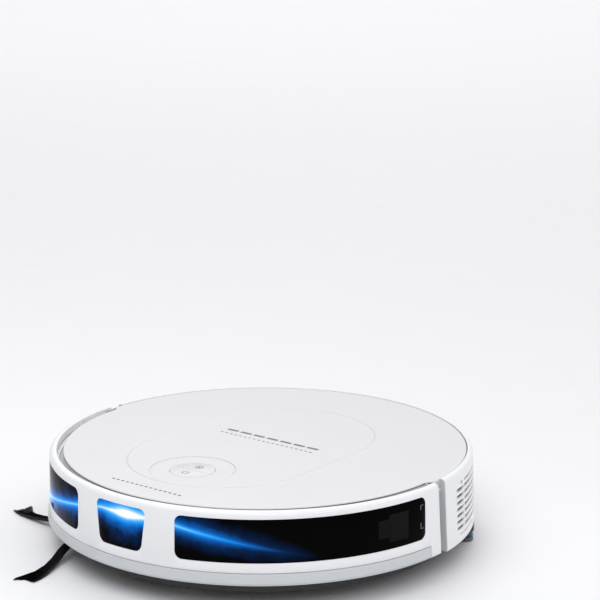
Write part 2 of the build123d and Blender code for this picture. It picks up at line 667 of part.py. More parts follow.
# ---- suction fan ---------------------------------------------------------------------
FAN_X = (80.4, 106.0)
FAN_R = 20.0
with BuildPart() as fan_housing:
    add(rod(FAN_R, FAN_X, FAN_AXIS))
    add(block((90, 130), (68, 92), (25, 36)))
    add(rod(FAN_R - 1.6, (FAN_X[0] + 1.6, FAN_X[1] - 1.6), FAN_AXIS), mode=Mode.SUBTRACT)
    add(block((91.6, 135), (69.6, 90.4), (26.6, 34.4)), mode=Mode.SUBTRACT)
    add(rod(10, (FAN_X[0] - 1, FAN_X[0] + 3), FAN_AXIS), mode=Mode.SUBTRACT)
    add(rod(5, (FAN_X[1] - 3, FAN_X[1] + 3), FAN_AXIS), mode=Mode.SUBTRACT)
keep(fan_housing.part, "fan_housing")

with BuildPart() as fan_motor:
    add(rod(10, (FAN_X[1], 126), FAN_AXIS))
    add(rod(1.5, (86, FAN_X[1]), FAN_AXIS))
keep(fan_motor.part, "fan_motor")

with BuildPart() as fan_impeller:
    add(rod(17, (98, 100), FAN_AXIS))
    add(rod(4, (86.5, 98), FAN_AXIS))
    with BuildSketch(Plane.YZ.offset(88)):
        with Locations(FAN_AXIS):
            with PolarLocations(11, 9):
                Rectangle(10.5, 1.2, rotation=35)
    extrude(amount=10)
    add(rod(1.5 + FIT, (80, 110), FAN_AXIS), mode=Mode.SUBTRACT)
keep(fan_impeller.part, "fan_impeller")

# ---- dust box ------------------------------------------------------------------------
BIN_WALL = 2.0
LID_Z = BIN_Z[1] - 2.0
KEY_X, KEY_Z = 13.0, (52.0, 62.0)
PORT_X, PORT_Z = 20.0, (29.0, 44.0)
FILTER_Y = (60.0, 108.0)
FILTER_Z = (30.0, 62.0)


def bin_slab(inset, z):
    """The dust box's outline at an inset, between two heights."""
    with BuildPart() as slab:
        with BuildSketch(Plane.XY.offset(z[0])):
            Circle(BIN_R - inset)
            with Locations((0, BIN_FRONT + inset + 100)):
                Rectangle(2 * (BIN_HALF - inset), 200, mode=Mode.INTERSECT)
        extrude(amount=z[1] - z[0])
    return slab.part


with BuildPart() as dustbin_body:
    add(bin_slab(0, (BIN_Z[0], LID_Z)))
    add(bin_slab(BIN_WALL, (BIN_Z[0] + BIN_WALL, BIN_Z[1])), mode=Mode.SUBTRACT)
    add(block((-INLET[0], INLET[0]), (BIN_FRONT - 1, BIN_FRONT + 4), INLET[1:]), mode=Mode.SUBTRACT)
    add(block((BIN_HALF - 4, BIN_HALF + 1), FILTER_Y, FILTER_Z), mode=Mode.SUBTRACT)
    add(block((-KEY_X, KEY_X), (160, 180), KEY_Z), mode=Mode.SUBTRACT)
    add(block((-PORT_X, PORT_X), (160, 180), PORT_Z), mode=Mode.SUBTRACT)
keep(dustbin_body.part, "dustbin_body")
keep(bin_slab(0, (LID_Z, BIN_Z[1])), "dustbin_lid")

with BuildPart() as release_key:
    add(bin_slab(-0.4, KEY_Z))
    add(bin_slab(2.6, (KEY_Z[0] - 1, KEY_Z[1] + 1)), mode=Mode.SUBTRACT)
    add(block((-KEY_X + GAP, KEY_X - GAP), (150, 180), (KEY_Z[0] + GAP, KEY_Z[1] - GAP)),
        mode=Mode.INTERSECT)
keep(release_key.part, "release_key")

with BuildPart() as port_flap:
    add(bin_slab(0, PORT_Z))
    add(bin_slab(1.6, (PORT_Z[0] - 1, PORT_Z[1] + 1)), mode=Mode.SUBTRACT)
    add(block((-PORT_X + GAP, PORT_X - GAP), (150, 180), (PORT_Z[0] + GAP, PORT_Z[1] - GAP)),
        mode=Mode.INTERSECT)
keep(port_flap.part, "port_flap")

PLEAT = 4.0
with BuildPart() as filter_pleats:
    count = int((FILTER_Y[1] - FILTER_Y[0] - 4) / PLEAT)
    near, far = BIN_HALF - 12, BIN_HALF - 3
    with BuildSketch(Plane.XY.offset(FILTER_Z[0] + 2)):
        with BuildLine():
            teeth = []
            for tooth in range(count + 1):
                y = FILTER_Y[0] + 2 + tooth * PLEAT
                teeth.append((near if tooth % 2 else far - 1.2, y))
            back = [(x + 1.2, y) for x, y in reversed(teeth)]
            Polyline(*teeth, *back, close=True)
        make_face()
    extrude(amount=FILTER_Z[1] - FILTER_Z[0] - 4)

with BuildPart() as filter_frame:
    add(block((BIN_HALF - 12, BIN_HALF - 0.4), (FILTER_Y[0] + 0.3, FILTER_Y[1] - 0.3),
              (FILTER_Z[0] + 0.3, FILTER_Z[1] - 0.3)))
    add(block((0, 100), (FILTER_Y[0] + 1.9, FILTER_Y[1] - 1.9), (FILTER_Z[0] + 1.9, FILTER_Z[1] - 1.9)),
        mode=Mode.SUBTRACT)
keep(Compound(children=[filter_frame.part, filter_pleats.part]), "dust_filter")

# ---- mop module ----------------------------------------------------------------------


def mop_slab(inset, z, corner=6.0):
    """The mop module's D outline at an inset, between two heights."""
    with BuildPart() as slab:
        with BuildSketch(Plane.XY.offset(z[0])) as outline:
            Circle(MOP_R - inset)
            with Locations((0, MOP_FRONT + inset + 0.5 + 100)):
                Rectangle(400, 200, mode=Mode.INTERSECT)
            fillet(outline.vertices(), corner)
        extrude(amount=z[1] - z[0])
    return slab.part


FILLER = (60.0, 120.0)
TANK_SEAM = TANK_TOP - 1.4
with BuildPart() as tank_tray:
    add(mop_slab(0, (MOP_PLATE_TOP, TANK_SEAM)))
    add(mop_slab(WALL, (MOP_PLATE_TOP + 1.4, TANK_SEAM + 1), 4.0), mode=Mode.SUBTRACT)
keep(tank_tray.part, "tank_tray")

with BuildPart() as tank_lid:
    add(mop_slab(0, (TANK_SEAM, TANK_TOP)))
    add(disc(6, (TANK_SEAM - 1, TANK_TOP + 1), FILLER), mode=Mode.SUBTRACT)
keep(tank_lid.part, "tank_lid")
keep(disc(6 - 0.02, (TANK_TOP - 1.4, TANK_TOP), FILLER), "filler_cap")
keep(mop_slab(1.5, (CLOTH, MOP_PLATE_TOP)), "mop_plate")
keep(mop_slab(0.5, (0, CLOTH)), "mop_cloth")

# ---- small things on the underside ---------------------------------------------------
CLIFFS = (FRONT - 62, FRONT - 26, FRONT + 26, FRONT + 62)
with BuildPart() as cliff_windows:
    for bearing in CLIFFS:
        turn = radians(bearing)
        with BuildSketch(Plane(origin=(151 * cos(turn), 151 * sin(turn), BASE_Z - 1.2),
                               x_dir=(-sin(turn), cos(turn), 0), z_dir=(0, 0, 1))):
            SlotOverall(24, 9)
        extrude(amount=1.2)
keep(cliff_windows.part, "cliff_windows")

with BuildPart() as charge_contacts:
    with BuildSketch(Plane.XY.offset(BASE_Z - 1.0)):
        with Locations((36, -138), (-36, -138)):
            RectangleRounded(22, 11, 2.5)
    extrude(amount=1.0)
keep(charge_contacts.part, "charge_contacts")
print(len(made), "pieces")
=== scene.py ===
"""Looks of a round robot vacuum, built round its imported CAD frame.

Shapes are worked out in millimetres and scaled to metres as each mesh is made. The front is
-Y, +X is the robot's own left, and a bearing is in degrees, counterclockwise from +X.
"""
import math
import random

import bmesh
import bpy
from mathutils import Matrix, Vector


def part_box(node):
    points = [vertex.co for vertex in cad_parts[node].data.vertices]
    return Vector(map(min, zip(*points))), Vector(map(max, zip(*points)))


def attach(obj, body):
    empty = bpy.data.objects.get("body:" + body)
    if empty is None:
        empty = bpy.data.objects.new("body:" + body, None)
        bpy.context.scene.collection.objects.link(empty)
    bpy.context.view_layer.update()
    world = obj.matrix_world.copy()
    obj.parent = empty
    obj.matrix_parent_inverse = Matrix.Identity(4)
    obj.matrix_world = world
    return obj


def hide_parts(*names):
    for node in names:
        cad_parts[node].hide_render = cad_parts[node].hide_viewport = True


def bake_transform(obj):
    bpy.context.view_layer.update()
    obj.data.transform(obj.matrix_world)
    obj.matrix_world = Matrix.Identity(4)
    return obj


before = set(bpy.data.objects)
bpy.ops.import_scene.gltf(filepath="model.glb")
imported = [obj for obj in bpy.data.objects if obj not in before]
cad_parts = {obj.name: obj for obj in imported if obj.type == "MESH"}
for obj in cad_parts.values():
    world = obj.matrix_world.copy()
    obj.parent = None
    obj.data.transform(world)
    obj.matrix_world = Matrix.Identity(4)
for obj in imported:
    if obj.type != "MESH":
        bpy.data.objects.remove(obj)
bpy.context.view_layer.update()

MM = 0.001
FRONT = -90.0
OUTSIDE = 182.0                  # a radius that is clear of every wall, for cutters
WALL_MIDDLE = 50.0               # height of the middle of the side wall
DICE = random.Random(7)


def limits(name):
    """A CAD node's lowest and highest corners in millimetres."""
    low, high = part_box(name)
    return low / MM, high / MM


def polar(radius, bearing, centre=(0.0, 0.0)):
    """The (x, y) place at a radius and a bearing from a centre."""
    turn = math.radians(bearing)
    return centre[0] + radius * math.cos(turn), centre[1] + radius * math.sin(turn)


# ---- finishes ----
def linear(code):
    """A linear colour from an sRGB hex code."""
    parts = [int(code[at:at + 2], 16) / 255 for at in (1, 3, 5)]
    return tuple(p / 12.92 if p <= 0.04045 else ((p + 0.055) / 1.055) ** 2.4 for p in parts) + (1.0,)


def node(tree, kind, inputs=None, **settings):
    """Adds a shader node with its settings, its inputs set to values or linked to outputs."""
    added = tree.nodes.new("ShaderNode" + kind)
    for name, value in settings.items():
        setattr(added, name, value)
    for name, value in (inputs or {}).items():
        if isinstance(value, bpy.types.NodeSocket):
            tree.links.new(value, added.inputs[name])
        else:
            added.inputs[name].default_value = value
    return added


def remap(tree, value, start, end, interpolation="LINEAR"):
    """A value taken from one range to another, held at the ends of the range."""
    return node(tree, "MapRange", {"Value": value, "From Min": start[0], "From Max": start[1],
                                   "To Min": end[0], "To Max": end[1]},
                interpolation_type=interpolation).outputs["Result"]


def blank(name):
    """A material with an empty tree, its output and the place on the object."""
    material = bpy.data.materials.new(name)
    material.use_nodes = True
    tree = material.node_tree
    tree.nodes.clear()
    output = node(tree, "OutputMaterial")
    place = node(tree, "TexCoord").outputs["Object"]
    return material, tree, output, place


def moulded(name, colour, roughness, grain_mm, grain_height_mm, shade=None, **shader):
    """A moulded or cast finish: an even colour with a slow drift, and a fine grain from the tool."""
    material, tree, output, place = blank(name)
    drift = node(tree, "TexNoise", {"Vector": place, "Scale": 1 / (60 * MM), "Detail": 3.0})
    tint = node(tree, "Mix", {"Factor": drift.outputs["Fac"], "A": linear(colour),
                              "B": linear(shade or colour)}, data_type="RGBA")
    polish = remap(tree, drift.outputs["Fac"], (0.0, 1.0), (roughness * 0.88, min(1.0, roughness * 1.12)))
    grain = node(tree, "TexNoise", {"Vector": place, "Scale": 1 / (grain_mm * MM), "Detail": 2.0})
    bump = node(tree, "Bump", {"Height": grain.outputs["Fac"], "Distance": grain_height_mm * MM,
                               "Strength": 0.6})
    surface = node(tree, "BsdfPrincipled", {"Base Color": tint.outputs["Result"],
                                            "Roughness": polish,
                                            "Normal": bump.outputs["Normal"], **shader})
    tree.links.new(surface.outputs[0], output.inputs["Surface"])
    return material


def drawn_metal(name, colour, roughness, line_mm):
    """Drawn or turned metal: fine lines along X, and a little wear in its shine."""
    material, tree, output, place = blank(name)
    along = node(tree, "Mapping", {"Vector": place, "Scale": (0.05, 1.0, 1.0)})
    lines = node(tree, "TexNoise", {"Vector": along.outputs[0], "Scale": 1 / (line_mm * MM), "Detail": 3.0})
    polish = remap(tree, lines.outputs["Fac"], (0.0, 1.0), (roughness * 0.7, roughness * 1.4))
    bump = node(tree, "Bump", {"Height": lines.outputs["Fac"], "Distance": 0.01 * MM, "Strength": 0.4})
    surface = node(tree, "BsdfPrincipled", {"Base Color": linear(colour), "Metallic": 1.0,
                                            "Roughness": polish,
                                            "Normal": bump.outputs["Normal"]})
    tree.links.new(surface.outputs[0], output.inputs["Surface"])
    return material


def looped_cloth(name, colour, shade, loop_mm):
    """Looped microfibre: rows of tufts, with painted shade darkening their roots."""
    material, tree, output, place = blank(name)
    tufts = node(tree, "TexVoronoi", {"Vector": place, "Scale": 1 / (loop_mm * MM), "Randomness": 0.6})
    tint = node(tree, "Mix", {"Factor": tufts.outputs["Distance"], "A": linear(colour), "B": linear(shade)},
                data_type="RGBA")
    bump = node(tree, "Bump", {"Height": tufts.outputs["Distance"], "Distance": 0.6 * MM, "Strength": 0.9},
                invert=True)
    surface = node(tree, "BsdfPrincipled", {"Base Color": tint.outputs["Result"], "Roughness": 0.95,
                                            "Sheen Weight": 0.4, "Normal": bump.outputs["Normal"]})
    tree.links.new(surface.outputs[0], output.inputs["Surface"])
    return material


# painted light of the laser behind the windows: an emitted streak that is brightest in front and sinks to each
# side
GLOW_FRONT = 3.5                 # bearing from the front where the streak is brightest, degrees
GLOW_TOP = 66.8                  # height of the streak there, mm
GLOW_FLAT = 10.0                 # degrees either side before it starts to sink
GLOW_SINK = 0.62                 # mm lower for each degree further round


def painted_laser_glow_acrylic(name):
    """Polished infrared-clear acrylic: near black, with a painted glow standing in for the laser's blue light
    behind it.
    """
    material, tree, output, place = blank(name)

    def maths(operation, a, b=0.0):
        return node(tree, "Math", {0: a, 1: b}, operation=operation).outputs[0]

    def fade(value, start, end):
        return remap(tree, value, (start, end), (1.0, 0.0), "SMOOTHSTEP")

    def bell(value, width, power):
        spread_out = maths("POWER", maths("DIVIDE", maths("ABSOLUTE", value), width), power)
        return maths("EXPONENT", maths("MULTIPLY", spread_out, -1.0))

    parts = node(tree, "SeparateXYZ", {"Vector": place}).outputs
    forward = maths("MULTIPLY", parts["Y"], -1.0)
    bearing = maths("MULTIPLY", maths("ARCTAN2", parts["X"], forward), 180 / math.pi)
    off_middle = maths("SUBTRACT", bearing, GLOW_FRONT)
    away = maths("ABSOLUTE", off_middle)
    sunk = maths("MULTIPLY", maths("MAXIMUM", maths("SUBTRACT", away, GLOW_FLAT), 0.0), GLOW_SINK)
    height = maths("DIVIDE", parts["Z"], MM)
    off = maths("SUBTRACT", height, maths("SUBTRACT", GLOW_TOP, sunk))
    # on the robot's left the painted glow is gone sooner than on its right
    right = fade(maths("MULTIPLY", off_middle, -1.0), 46.0, 100.0)
    near = maths("MULTIPLY", fade(off_middle, 9.0, 56.0), right)
    middle = fade(away, 2.0, 15.0)
    # the painted halo is wide in front and narrower at the sides, and drifts like light through haze
    cloud = node(tree, "TexNoise", {"Vector": place, "Scale": 1 / (14 * MM), "Detail": 3.0})
    drift = remap(tree, cloud.outputs["Fac"], (0.3, 0.7), (0.7, 1.25))
    over = remap(tree, off, (-4.0, 3.0), (4.6, 12.0))
    reach = maths("MULTIPLY", maths("ADD", 7.6, maths("MULTIPLY", middle, over)), drift)
    halo = maths("MULTIPLY", bell(off, reach, 1.35), near)
    # a painted thin streak along the middle, and a painted glare near the front
    streak = maths("MULTIPLY", bell(off, 1.5, 1.4), maths("POWER", near, 1.15))
    glare = maths("MULTIPLY", bell(off, 4.4, 2.0), bell(maths("ADD", off_middle, 0.9), 3.8, 2.0))
    glow = maths("ADD", maths("MULTIPLY", halo, maths("ADD", 0.56, maths("MULTIPLY", middle, 0.2))),
                maths("ADD", maths("MULTIPLY", streak, 0.27), maths("MULTIPLY", glare, 0.36)))
    ramp = node(tree, "ValToRGB", {"Fac": glow})
    stops = ramp.color_ramp.elements
    stops[0].position, stops[0].color = 0.03, (0, 0, 0, 1)
    stops[1].position, stops[1].color = 1.0, linear("#FFFFFF")
    for at, code in ((0.18, "#05244F"), (0.36, "#0A5CB4"), (0.52, "#1688EA"), (0.68, "#3CAAFC"),
                     (0.84, "#96D6FF")):
        stop = stops.new(at)
        stop.color = linear(code)
    surface = node(tree, "BsdfPrincipled", {"Base Color": linear("#040405"), "Roughness": 0.07,
                                            "IOR": 1.49, "Specular IOR Level": 0.02,
                                            "Emission Color": ramp.outputs["Color"], "Emission Strength": 1.0})
    tree.links.new(surface.outputs[0], output.inputs["Surface"])
    return material


FINISH = {
    # injection-moulded ABS from a polished tool: bright white, soft broad highlights
    "shell": moulded("moulded_abs_white", "#F1F2F4", 0.30, 0.9, 0.004, "#ECEDF0", IOR=1.53),
    # sprayed and satin-lacquered ABS: slightly greyer and flatter than the shell
    "cover": moulded("lacquered_abs_white", "#DEDEDF", 0.34, 0.5, 0.004, "#DADADC", IOR=1.5),
    # near-black acrylic with a painted blue glow, standing in for the laser's light behind it
    "window": painted_laser_glow_acrylic("polished_acrylic_painted_laser_glow"),
    # soft elastomer, moulded on: cool light grey, almost no shine
    "strip": moulded("moulded_elastomer_grey", "#CFD3D5", 0.55, 0.35, 0.01, "#C9CDD0", IOR=1.5),
    # spark-eroded ABS: even black with a fine grain that scatters light
    "chassis": moulded("spark_grained_abs_black", "#1B1C1E", 0.52, 0.45, 0.03, "#222326", IOR=1.53),
    # moulded ABS of the parts inside, in greys: plain and a little glossy
    "inner": moulded("moulded_abs_grey", "#8C8F93", 0.45, 0.6, 0.01, "#85888C", IOR=1.53),
    # a flat grey band with no shine: painted shade under the cover's rounded edge
    "edge_shade": moulded("painted_shade_under_cover_edge", "#6E7073", 0.8, 0.4, 0.01, "#65676A", IOR=1.5),
    "deck": moulded("moulded_abs_light_grey", "#C9CBCE", 0.45, 0.6, 0.01, "#C3C5C8", IOR=1.53),
    # the channel behind the bumper's ends is left as moulded: a flat light grey, made darker to paint the
    # shade in that recess
    "notch": moulded("moulded_abs_grey_recess_painted_shade", "#C2C4C6", 0.5, 0.6, 0.01, "#BBBDBF", IOR=1.53),
    # drawn steel and nickel plate: bright, with fine lines along them
    "steel": drawn_metal("drawn_steel", "#B4B6B9", 0.32, 0.25),
    "contact": drawn_metal("nickel_plated_contact", "#CFC6AE", 0.24, 0.3),
    # vulcanised rubber: dull black, drifting slowly towards a dusty grey
    "tyre": moulded("vulcanised_rubber_black", "#151515", 0.78, 0.5, 0.03, "#1F1F1E", IOR=1.52),
    # cast silicone: charcoal, soft and matt
    "silicone": moulded("cast_silicone_charcoal", "#26272A", 0.6, 0.5, 0.01, "#2D2E31", IOR=1.41),
    # drawn nylon filament: deep black, for light is lost between the hairs
    "bristle": moulded("drawn_nylon_black", "#050505", 0.55, 0.3, 0.004, "#080808", IOR=1.53,
                       **{"Specular IOR Level": 0.2}),
    # solder-resist lacquer over glass fibre: glossy green
    "board": moulded("lacquered_glass_fibre_green", "#0E4A2B", 0.35, 0.8, 0.01, "#0B3F24", IOR=1.55),
    # heat-shrunk film: glossy, with slow ripples
    "battery": moulded("shrink_film_blue", "#1C3F7A", 0.3, 4.0, 0.05, "#193A70", IOR=1.5),
    # smoke-tinted polycarbonate, deep enough to look dark grey, with a clear gloss
    "smoke": moulded("smoked_polycarbonate", "#2A2B2E", 0.16, 0.9, 0.002, "#2D2E31", IOR=1.58),
    # pleated paper: off-white and quite dull
    "paper": moulded("pleated_filter_paper", "#E4E2DA", 0.9, 0.3, 0.03, "#DAD8CE"),
    # tinted glossy ABS of the water tank: near black with a hint of navy
    "tank": moulded("tinted_abs_navy", "#060A12", 0.14, 0.9, 0.002, "#070E1C", IOR=1.53),
    # blue moulded ABS, satin
    "plate": moulded("moulded_abs_blue", "#124B72", 0.4, 0.6, 0.01, "#0F4467", IOR=1.53),
    # looped microfibre: matt grey-green, with painted shade at the tufts' roots
    "cloth": looped_cloth("looped_microfibre_grey", "#6F7877", "#4A5251", 1.6),
    # screen-printed ink: flat mid grey
    "ink": moulded("screen_ink_grey", "#6E7073", 0.5, 0.3, 0.001, "#696B6E"),
    # sensor housing under the acrylic, which takes its shine away
    "sensor": moulded("sensor_face_behind_window", "#0B0B0C", 0.6, 0.5, 0.001, "#090909",
                      **{"Specular IOR Level": 0.08}),
}


# ---- making meshes ----
def shade(mesh, angle=32.0):
    """Smooth faces, with sharp edges kept where the faces turn by more than an angle."""
    mesh.shade_smooth()
    mesh.set_sharp_from_angle(angle=math.radians(angle))


def add_object(name, data):
    """A new object in the scene."""
    made = bpy.data.objects.new(name, data)
    bpy.context.scene.collection.objects.link(made)
    return made


def solid(name, points, faces):
    """A closed object from points in millimetres, its faces turned outwards."""
    mesh = bpy.data.meshes.new(name)
    mesh.from_pydata([tuple(c * MM for c in p) for p in points], [], faces)
    mesh.validate()
    turned = bmesh.new()
    turned.from_mesh(mesh)
    bmesh.ops.recalc_face_normals(turned, faces=turned.faces)
    turned.to_mesh(mesh)
    turned.free()
    return add_object(name, mesh)


def piece(name, points, faces, finish, body, nodes=(), bevel=0.0, angle=32.0):
    """A new piece with its finish, riding a body and standing for some CAD nodes."""
    made = solid(name, points, faces)
    made.data.materials.append(FINISH[finish])
    if bevel:
        soften(made, bevel)
    shade(made.data, angle)
    if body:
        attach(made, body)
    if nodes:
        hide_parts(*nodes)
    return made


def settle(made):
    """Turns a piece's modifiers into mesh."""
    bpy.context.view_layer.update()
    view = bpy.context.evaluated_depsgraph_get()
    mesh = bpy.data.meshes.new_from_object(made.evaluated_get(view))
    made.modifiers.clear()
    made.data = mesh


def soften(made, width_mm, segments=2, angle=38.0):
    """Rounds the sharp edges of a piece."""
    bevel = made.modifiers.new("edge", "BEVEL")
    bevel.width = width_mm * MM
    bevel.segments = segments
    bevel.angle_limit = math.radians(angle)
    bevel.use_clamp_overlap = True
    settle(made)


def carve(made, cutters, bevel=0.0):
    """Cuts openings out of a piece, rounds their edges, and removes the cutters."""
    for cutter in cutters:
        cut = made.modifiers.new("cut", "BOOLEAN")
        cut.operation = "DIFFERENCE"
        cut.solver = "EXACT"
        cut.object = cutter
    settle(made)
    for cutter in cutters:
        bpy.data.objects.remove(cutter)
    if bevel:
        soften(made, bevel)
    shade(made.data)


def rows_to_faces(rows, columns, wrap_rows=False, wrap_columns=False):
    """Quads over a grid of points stored row by row."""
    faces = []
    for row in range(rows if wrap_rows else rows - 1):
        for column in range(columns if wrap_columns else columns - 1):
            a = row * columns + column
            b = row * columns + (column + 1) % columns
            c = ((row + 1) % rows) * columns + (column + 1) % columns
            d = ((row + 1) % rows) * columns + column
            faces.append((a, b, c, d))
    return faces


def capped(points, columns):
    """Points in rows, with the faces between the rows and one over each end."""
    faces = rows_to_faces(len(points) // columns, columns, False, True)
    faces.append(tuple(range(columns)))
    faces.append(tuple(range(len(points) - 1, len(points) - 1 - columns, -1)))
    return points, faces


def rounded(corners, steps=6):
    """A closed outline with arcs at its corners, each corner given as (x, y, radius)."""
    outline = []
    for at, (x, y, radius) in enumerate(corners):
        here = Vector((x, y))
        before = (Vector(corners[at - 1][:2]) - here).normalized()
        after = (Vector(corners[(at + 1) % len(corners)][:2]) - here).normalized()
        half = before.angle(after) / 2
        if radius <= 0 or half > math.radians(89):
            outline.append((x, y))
            continue
        middle = here + (before + after).normalized() * (radius / math.sin(half))
        start = here + before * (radius / math.tan(half)) - middle
        end = here + after * (radius / math.tan(half)) - middle
        turn = math.atan2(start.x * end.y - start.y * end.x, start.dot(end))
        for step in range(steps + 1):
            angle = turn * step / steps
            outline.append((middle.x + start.x * math.cos(angle) - start.y * math.sin(angle),
                            middle.y + start.x * math.sin(angle) + start.y * math.cos(angle)))
    return outline


def spread(start, end, step):
    """Even values from start to end, no further apart than a step."""
    count = max(1, math.ceil(abs(end - start) / step))
    return [start + (end - start) * at / count for at in range(count + 1)]


def swept(outline, bearings, full=False, lean=(0.0, 0.0)):
    """Points and faces of an outline of (radius, height) points carried round the centre line.

    The outline is a list, or a function of the bearing. lean is how many degrees the first and the
    last end are turned for each mm of height over the middle of the wall.
    """
    outlines = [outline(b) if callable(outline) else outline for b in bearings]
    count = len(outlines[0])
    first, last = bearings[0], bearings[-1]
    points = []
    for b, at in zip(bearings, outlines):
        slant = lean[0] * max(0.0, 1 - (b - first) / 4) + lean[1] * max(0.0, 1 - (last - b) / 4)
        points += [(*polar(r, b + slant * (z - WALL_MIDDLE)), z) for r, z in at]
    return (points, rows_to_faces(len(bearings), count, True, True)) if full else capped(points, count)


def panel(start, end, heights, radii, corner=0.0, lean=0.0, step=1.0):
    """Points and faces of a curved panel with rounded corners.

    It runs from one bearing to another and between two heights. radii gives the inner and outer
    radius at a height. lean is how many degrees further out each end stands for each mm of height.
    """
    low, high = heights
    middle = (low + high) / 2
    mean = radii(middle)[1]
    corner_turn = math.degrees(corner / mean)
    sign = 1 if end > start else -1
    span = abs(end - start)
    ends = [corner_turn * (1 - math.cos(math.radians(a))) for a in range(0, 90, 10)] if corner else [0.0]
    places = ends + spread(corner_turn, span - corner_turn, step) + [span - e for e in reversed(ends)]
    points = []
    for place in places:
        edge = min(place, span - place)
        drop = 0.0
        if edge < corner_turn:
            side = (corner_turn - edge) / corner_turn
            drop = corner * (1 - math.sqrt(max(0.0, 1 - side * side)))
        share = 2 * place / span - 1
        for z in (low + drop, high - drop):
            bearing = start + sign * place + share * lean * (z - middle)
            points += [(*polar(r, bearing), z) for r in radii(z)[::1 if z < middle else -1]]
    return capped(points, 4)


def prism(outline, low, high):
    """Points and faces of a flat outline raised between two heights."""
    count = len(outline)
    points = [(x, y, low) for x, y in outline] + [(x, y, high) for x, y in outline]
    faces = rows_to_faces(2, count, False, True)
    faces.append(tuple(range(count - 1, -1, -1)))
    faces.append(tuple(range(count, 2 * count)))
    return points, faces


def joined(*shapes):
    """Several shapes' points and faces as one."""
    points, faces = [], []
    for shape_points, shape_faces in shapes:
        faces += [tuple(at + len(points) for at in face) for face in shape_faces]
        points += shape_points
    return points, faces


def spun(outline, centre, step=12.0):
    """A closed outline of (radius, height) points turned fully about an upright line."""
    points, faces = swept(outline, spread(0, 360, step)[:-1], True)
    return [(x + centre[0], y + centre[1], z) for x, y, z in points], faces


def roller(name):
    """A roller's axle as (y, z), its radius, and the middle and half width of it along X."""
    low, high = limits(name)
    return (((low.y + high.y) / 2, (low.z + high.z) / 2), (high.y - low.y) / 2,
            (low.x + high.x) / 2, (high.x - low.x) / 2)


def along_x(shape, at):
    """Lays a shape turned about an upright line down along X, through a (y, z) place."""
    points, faces = shape
    return [(z, y + at[0], x + at[1]) for x, y, z in points], [tuple(reversed(face)) for face in faces]


def tube(path, radii, sides=4, axis=(0, 0, 1)):
    """Points and faces of a thin closed tube along a path that never runs along the axis."""
    points, count = [], len(path)
    for at, here in enumerate(path):
        way = (path[min(at + 1, count - 1)] - path[max(at - 1, 0)]).normalized()
        across = way.cross(Vector(axis)).normalized()
        up = across.cross(way)
        for side in range(sides):
            turn = 2 * math.pi * side / sides
            points.append(tuple(here + (across * math.cos(turn) + up * math.sin(turn)) * radii[at]))
    return capped(points, sides)


# ---- the cover, its raised line, dish and keys ----
COVER_LOW, COVER_HIGH = limits("top_cover")
COVER_SKIN = COVER_HIGH.z - 0.6  # height of the cover's face
KEY_TOP = COVER_SKIN - 0.4
KEY_GAP = 0.2
FRONT_R = -COVER_LOW.y
REAR_R = COVER_HIGH.y
TRACK_HALF = 77.0                # radius of the raised line's round ends
TRACK_Y = (-50.0, 27.0)          # their middles
DISH_Y = -88.0
KEY_R = 18.0
INK = 0.04                       # thickness of the printing
KEY_FLAT = 0.12                  # half of the gap between the two keys
RIDGE = 0.59                     # height of the raised line
RIDGE_HALF = 1.1
RIDGE_FOOT = 2.6                 # the cover's face is flat again this far from the line
CROWN = (1.5, 0.44)              # where the rounding of the edge ends: how far in, and how low
DISH_R = 36.0
RIM_STEP = 2.6                   # degrees over which the rim widens behind the bumper


def track_points(count):
    """Even points round the raised line, each with its outward direction."""
    straight, arc = TRACK_Y[1] - TRACK_Y[0], math.pi * TRACK_HALF
    found = []
    for at in range(count // 2):
        s = 2 * (arc + straight) * at / count
        if s < straight:
            found.append((Vector((TRACK_HALF, TRACK_Y[0] + s)), Vector((1, 0))))
        else:
            turn = (s - straight) / TRACK_HALF
            out = Vector((math.cos(turn), math.sin(turn)))
            found.append((Vector((0, TRACK_Y[1])) + out * TRACK_HALF, out))
    # the other half is this one turned about the middle
    ends = Vector((0, sum(TRACK_Y)))
    return found + [(ends - place, -out) for place, out in found]


def rim_radius(bearing):
    """The cover's radius: wider behind the bumper, with a short soft step."""
    side = abs(math.degrees(math.asin(math.sin(math.radians(bearing)))))
    behind = side if math.sin(math.radians(bearing)) > 0 else -side
    share = min(1.0, max(0.0, (behind + 0.3) / RIM_STEP))
    return FRONT_R + (REAR_R - FRONT_R) * share * share * (3 - 2 * share)


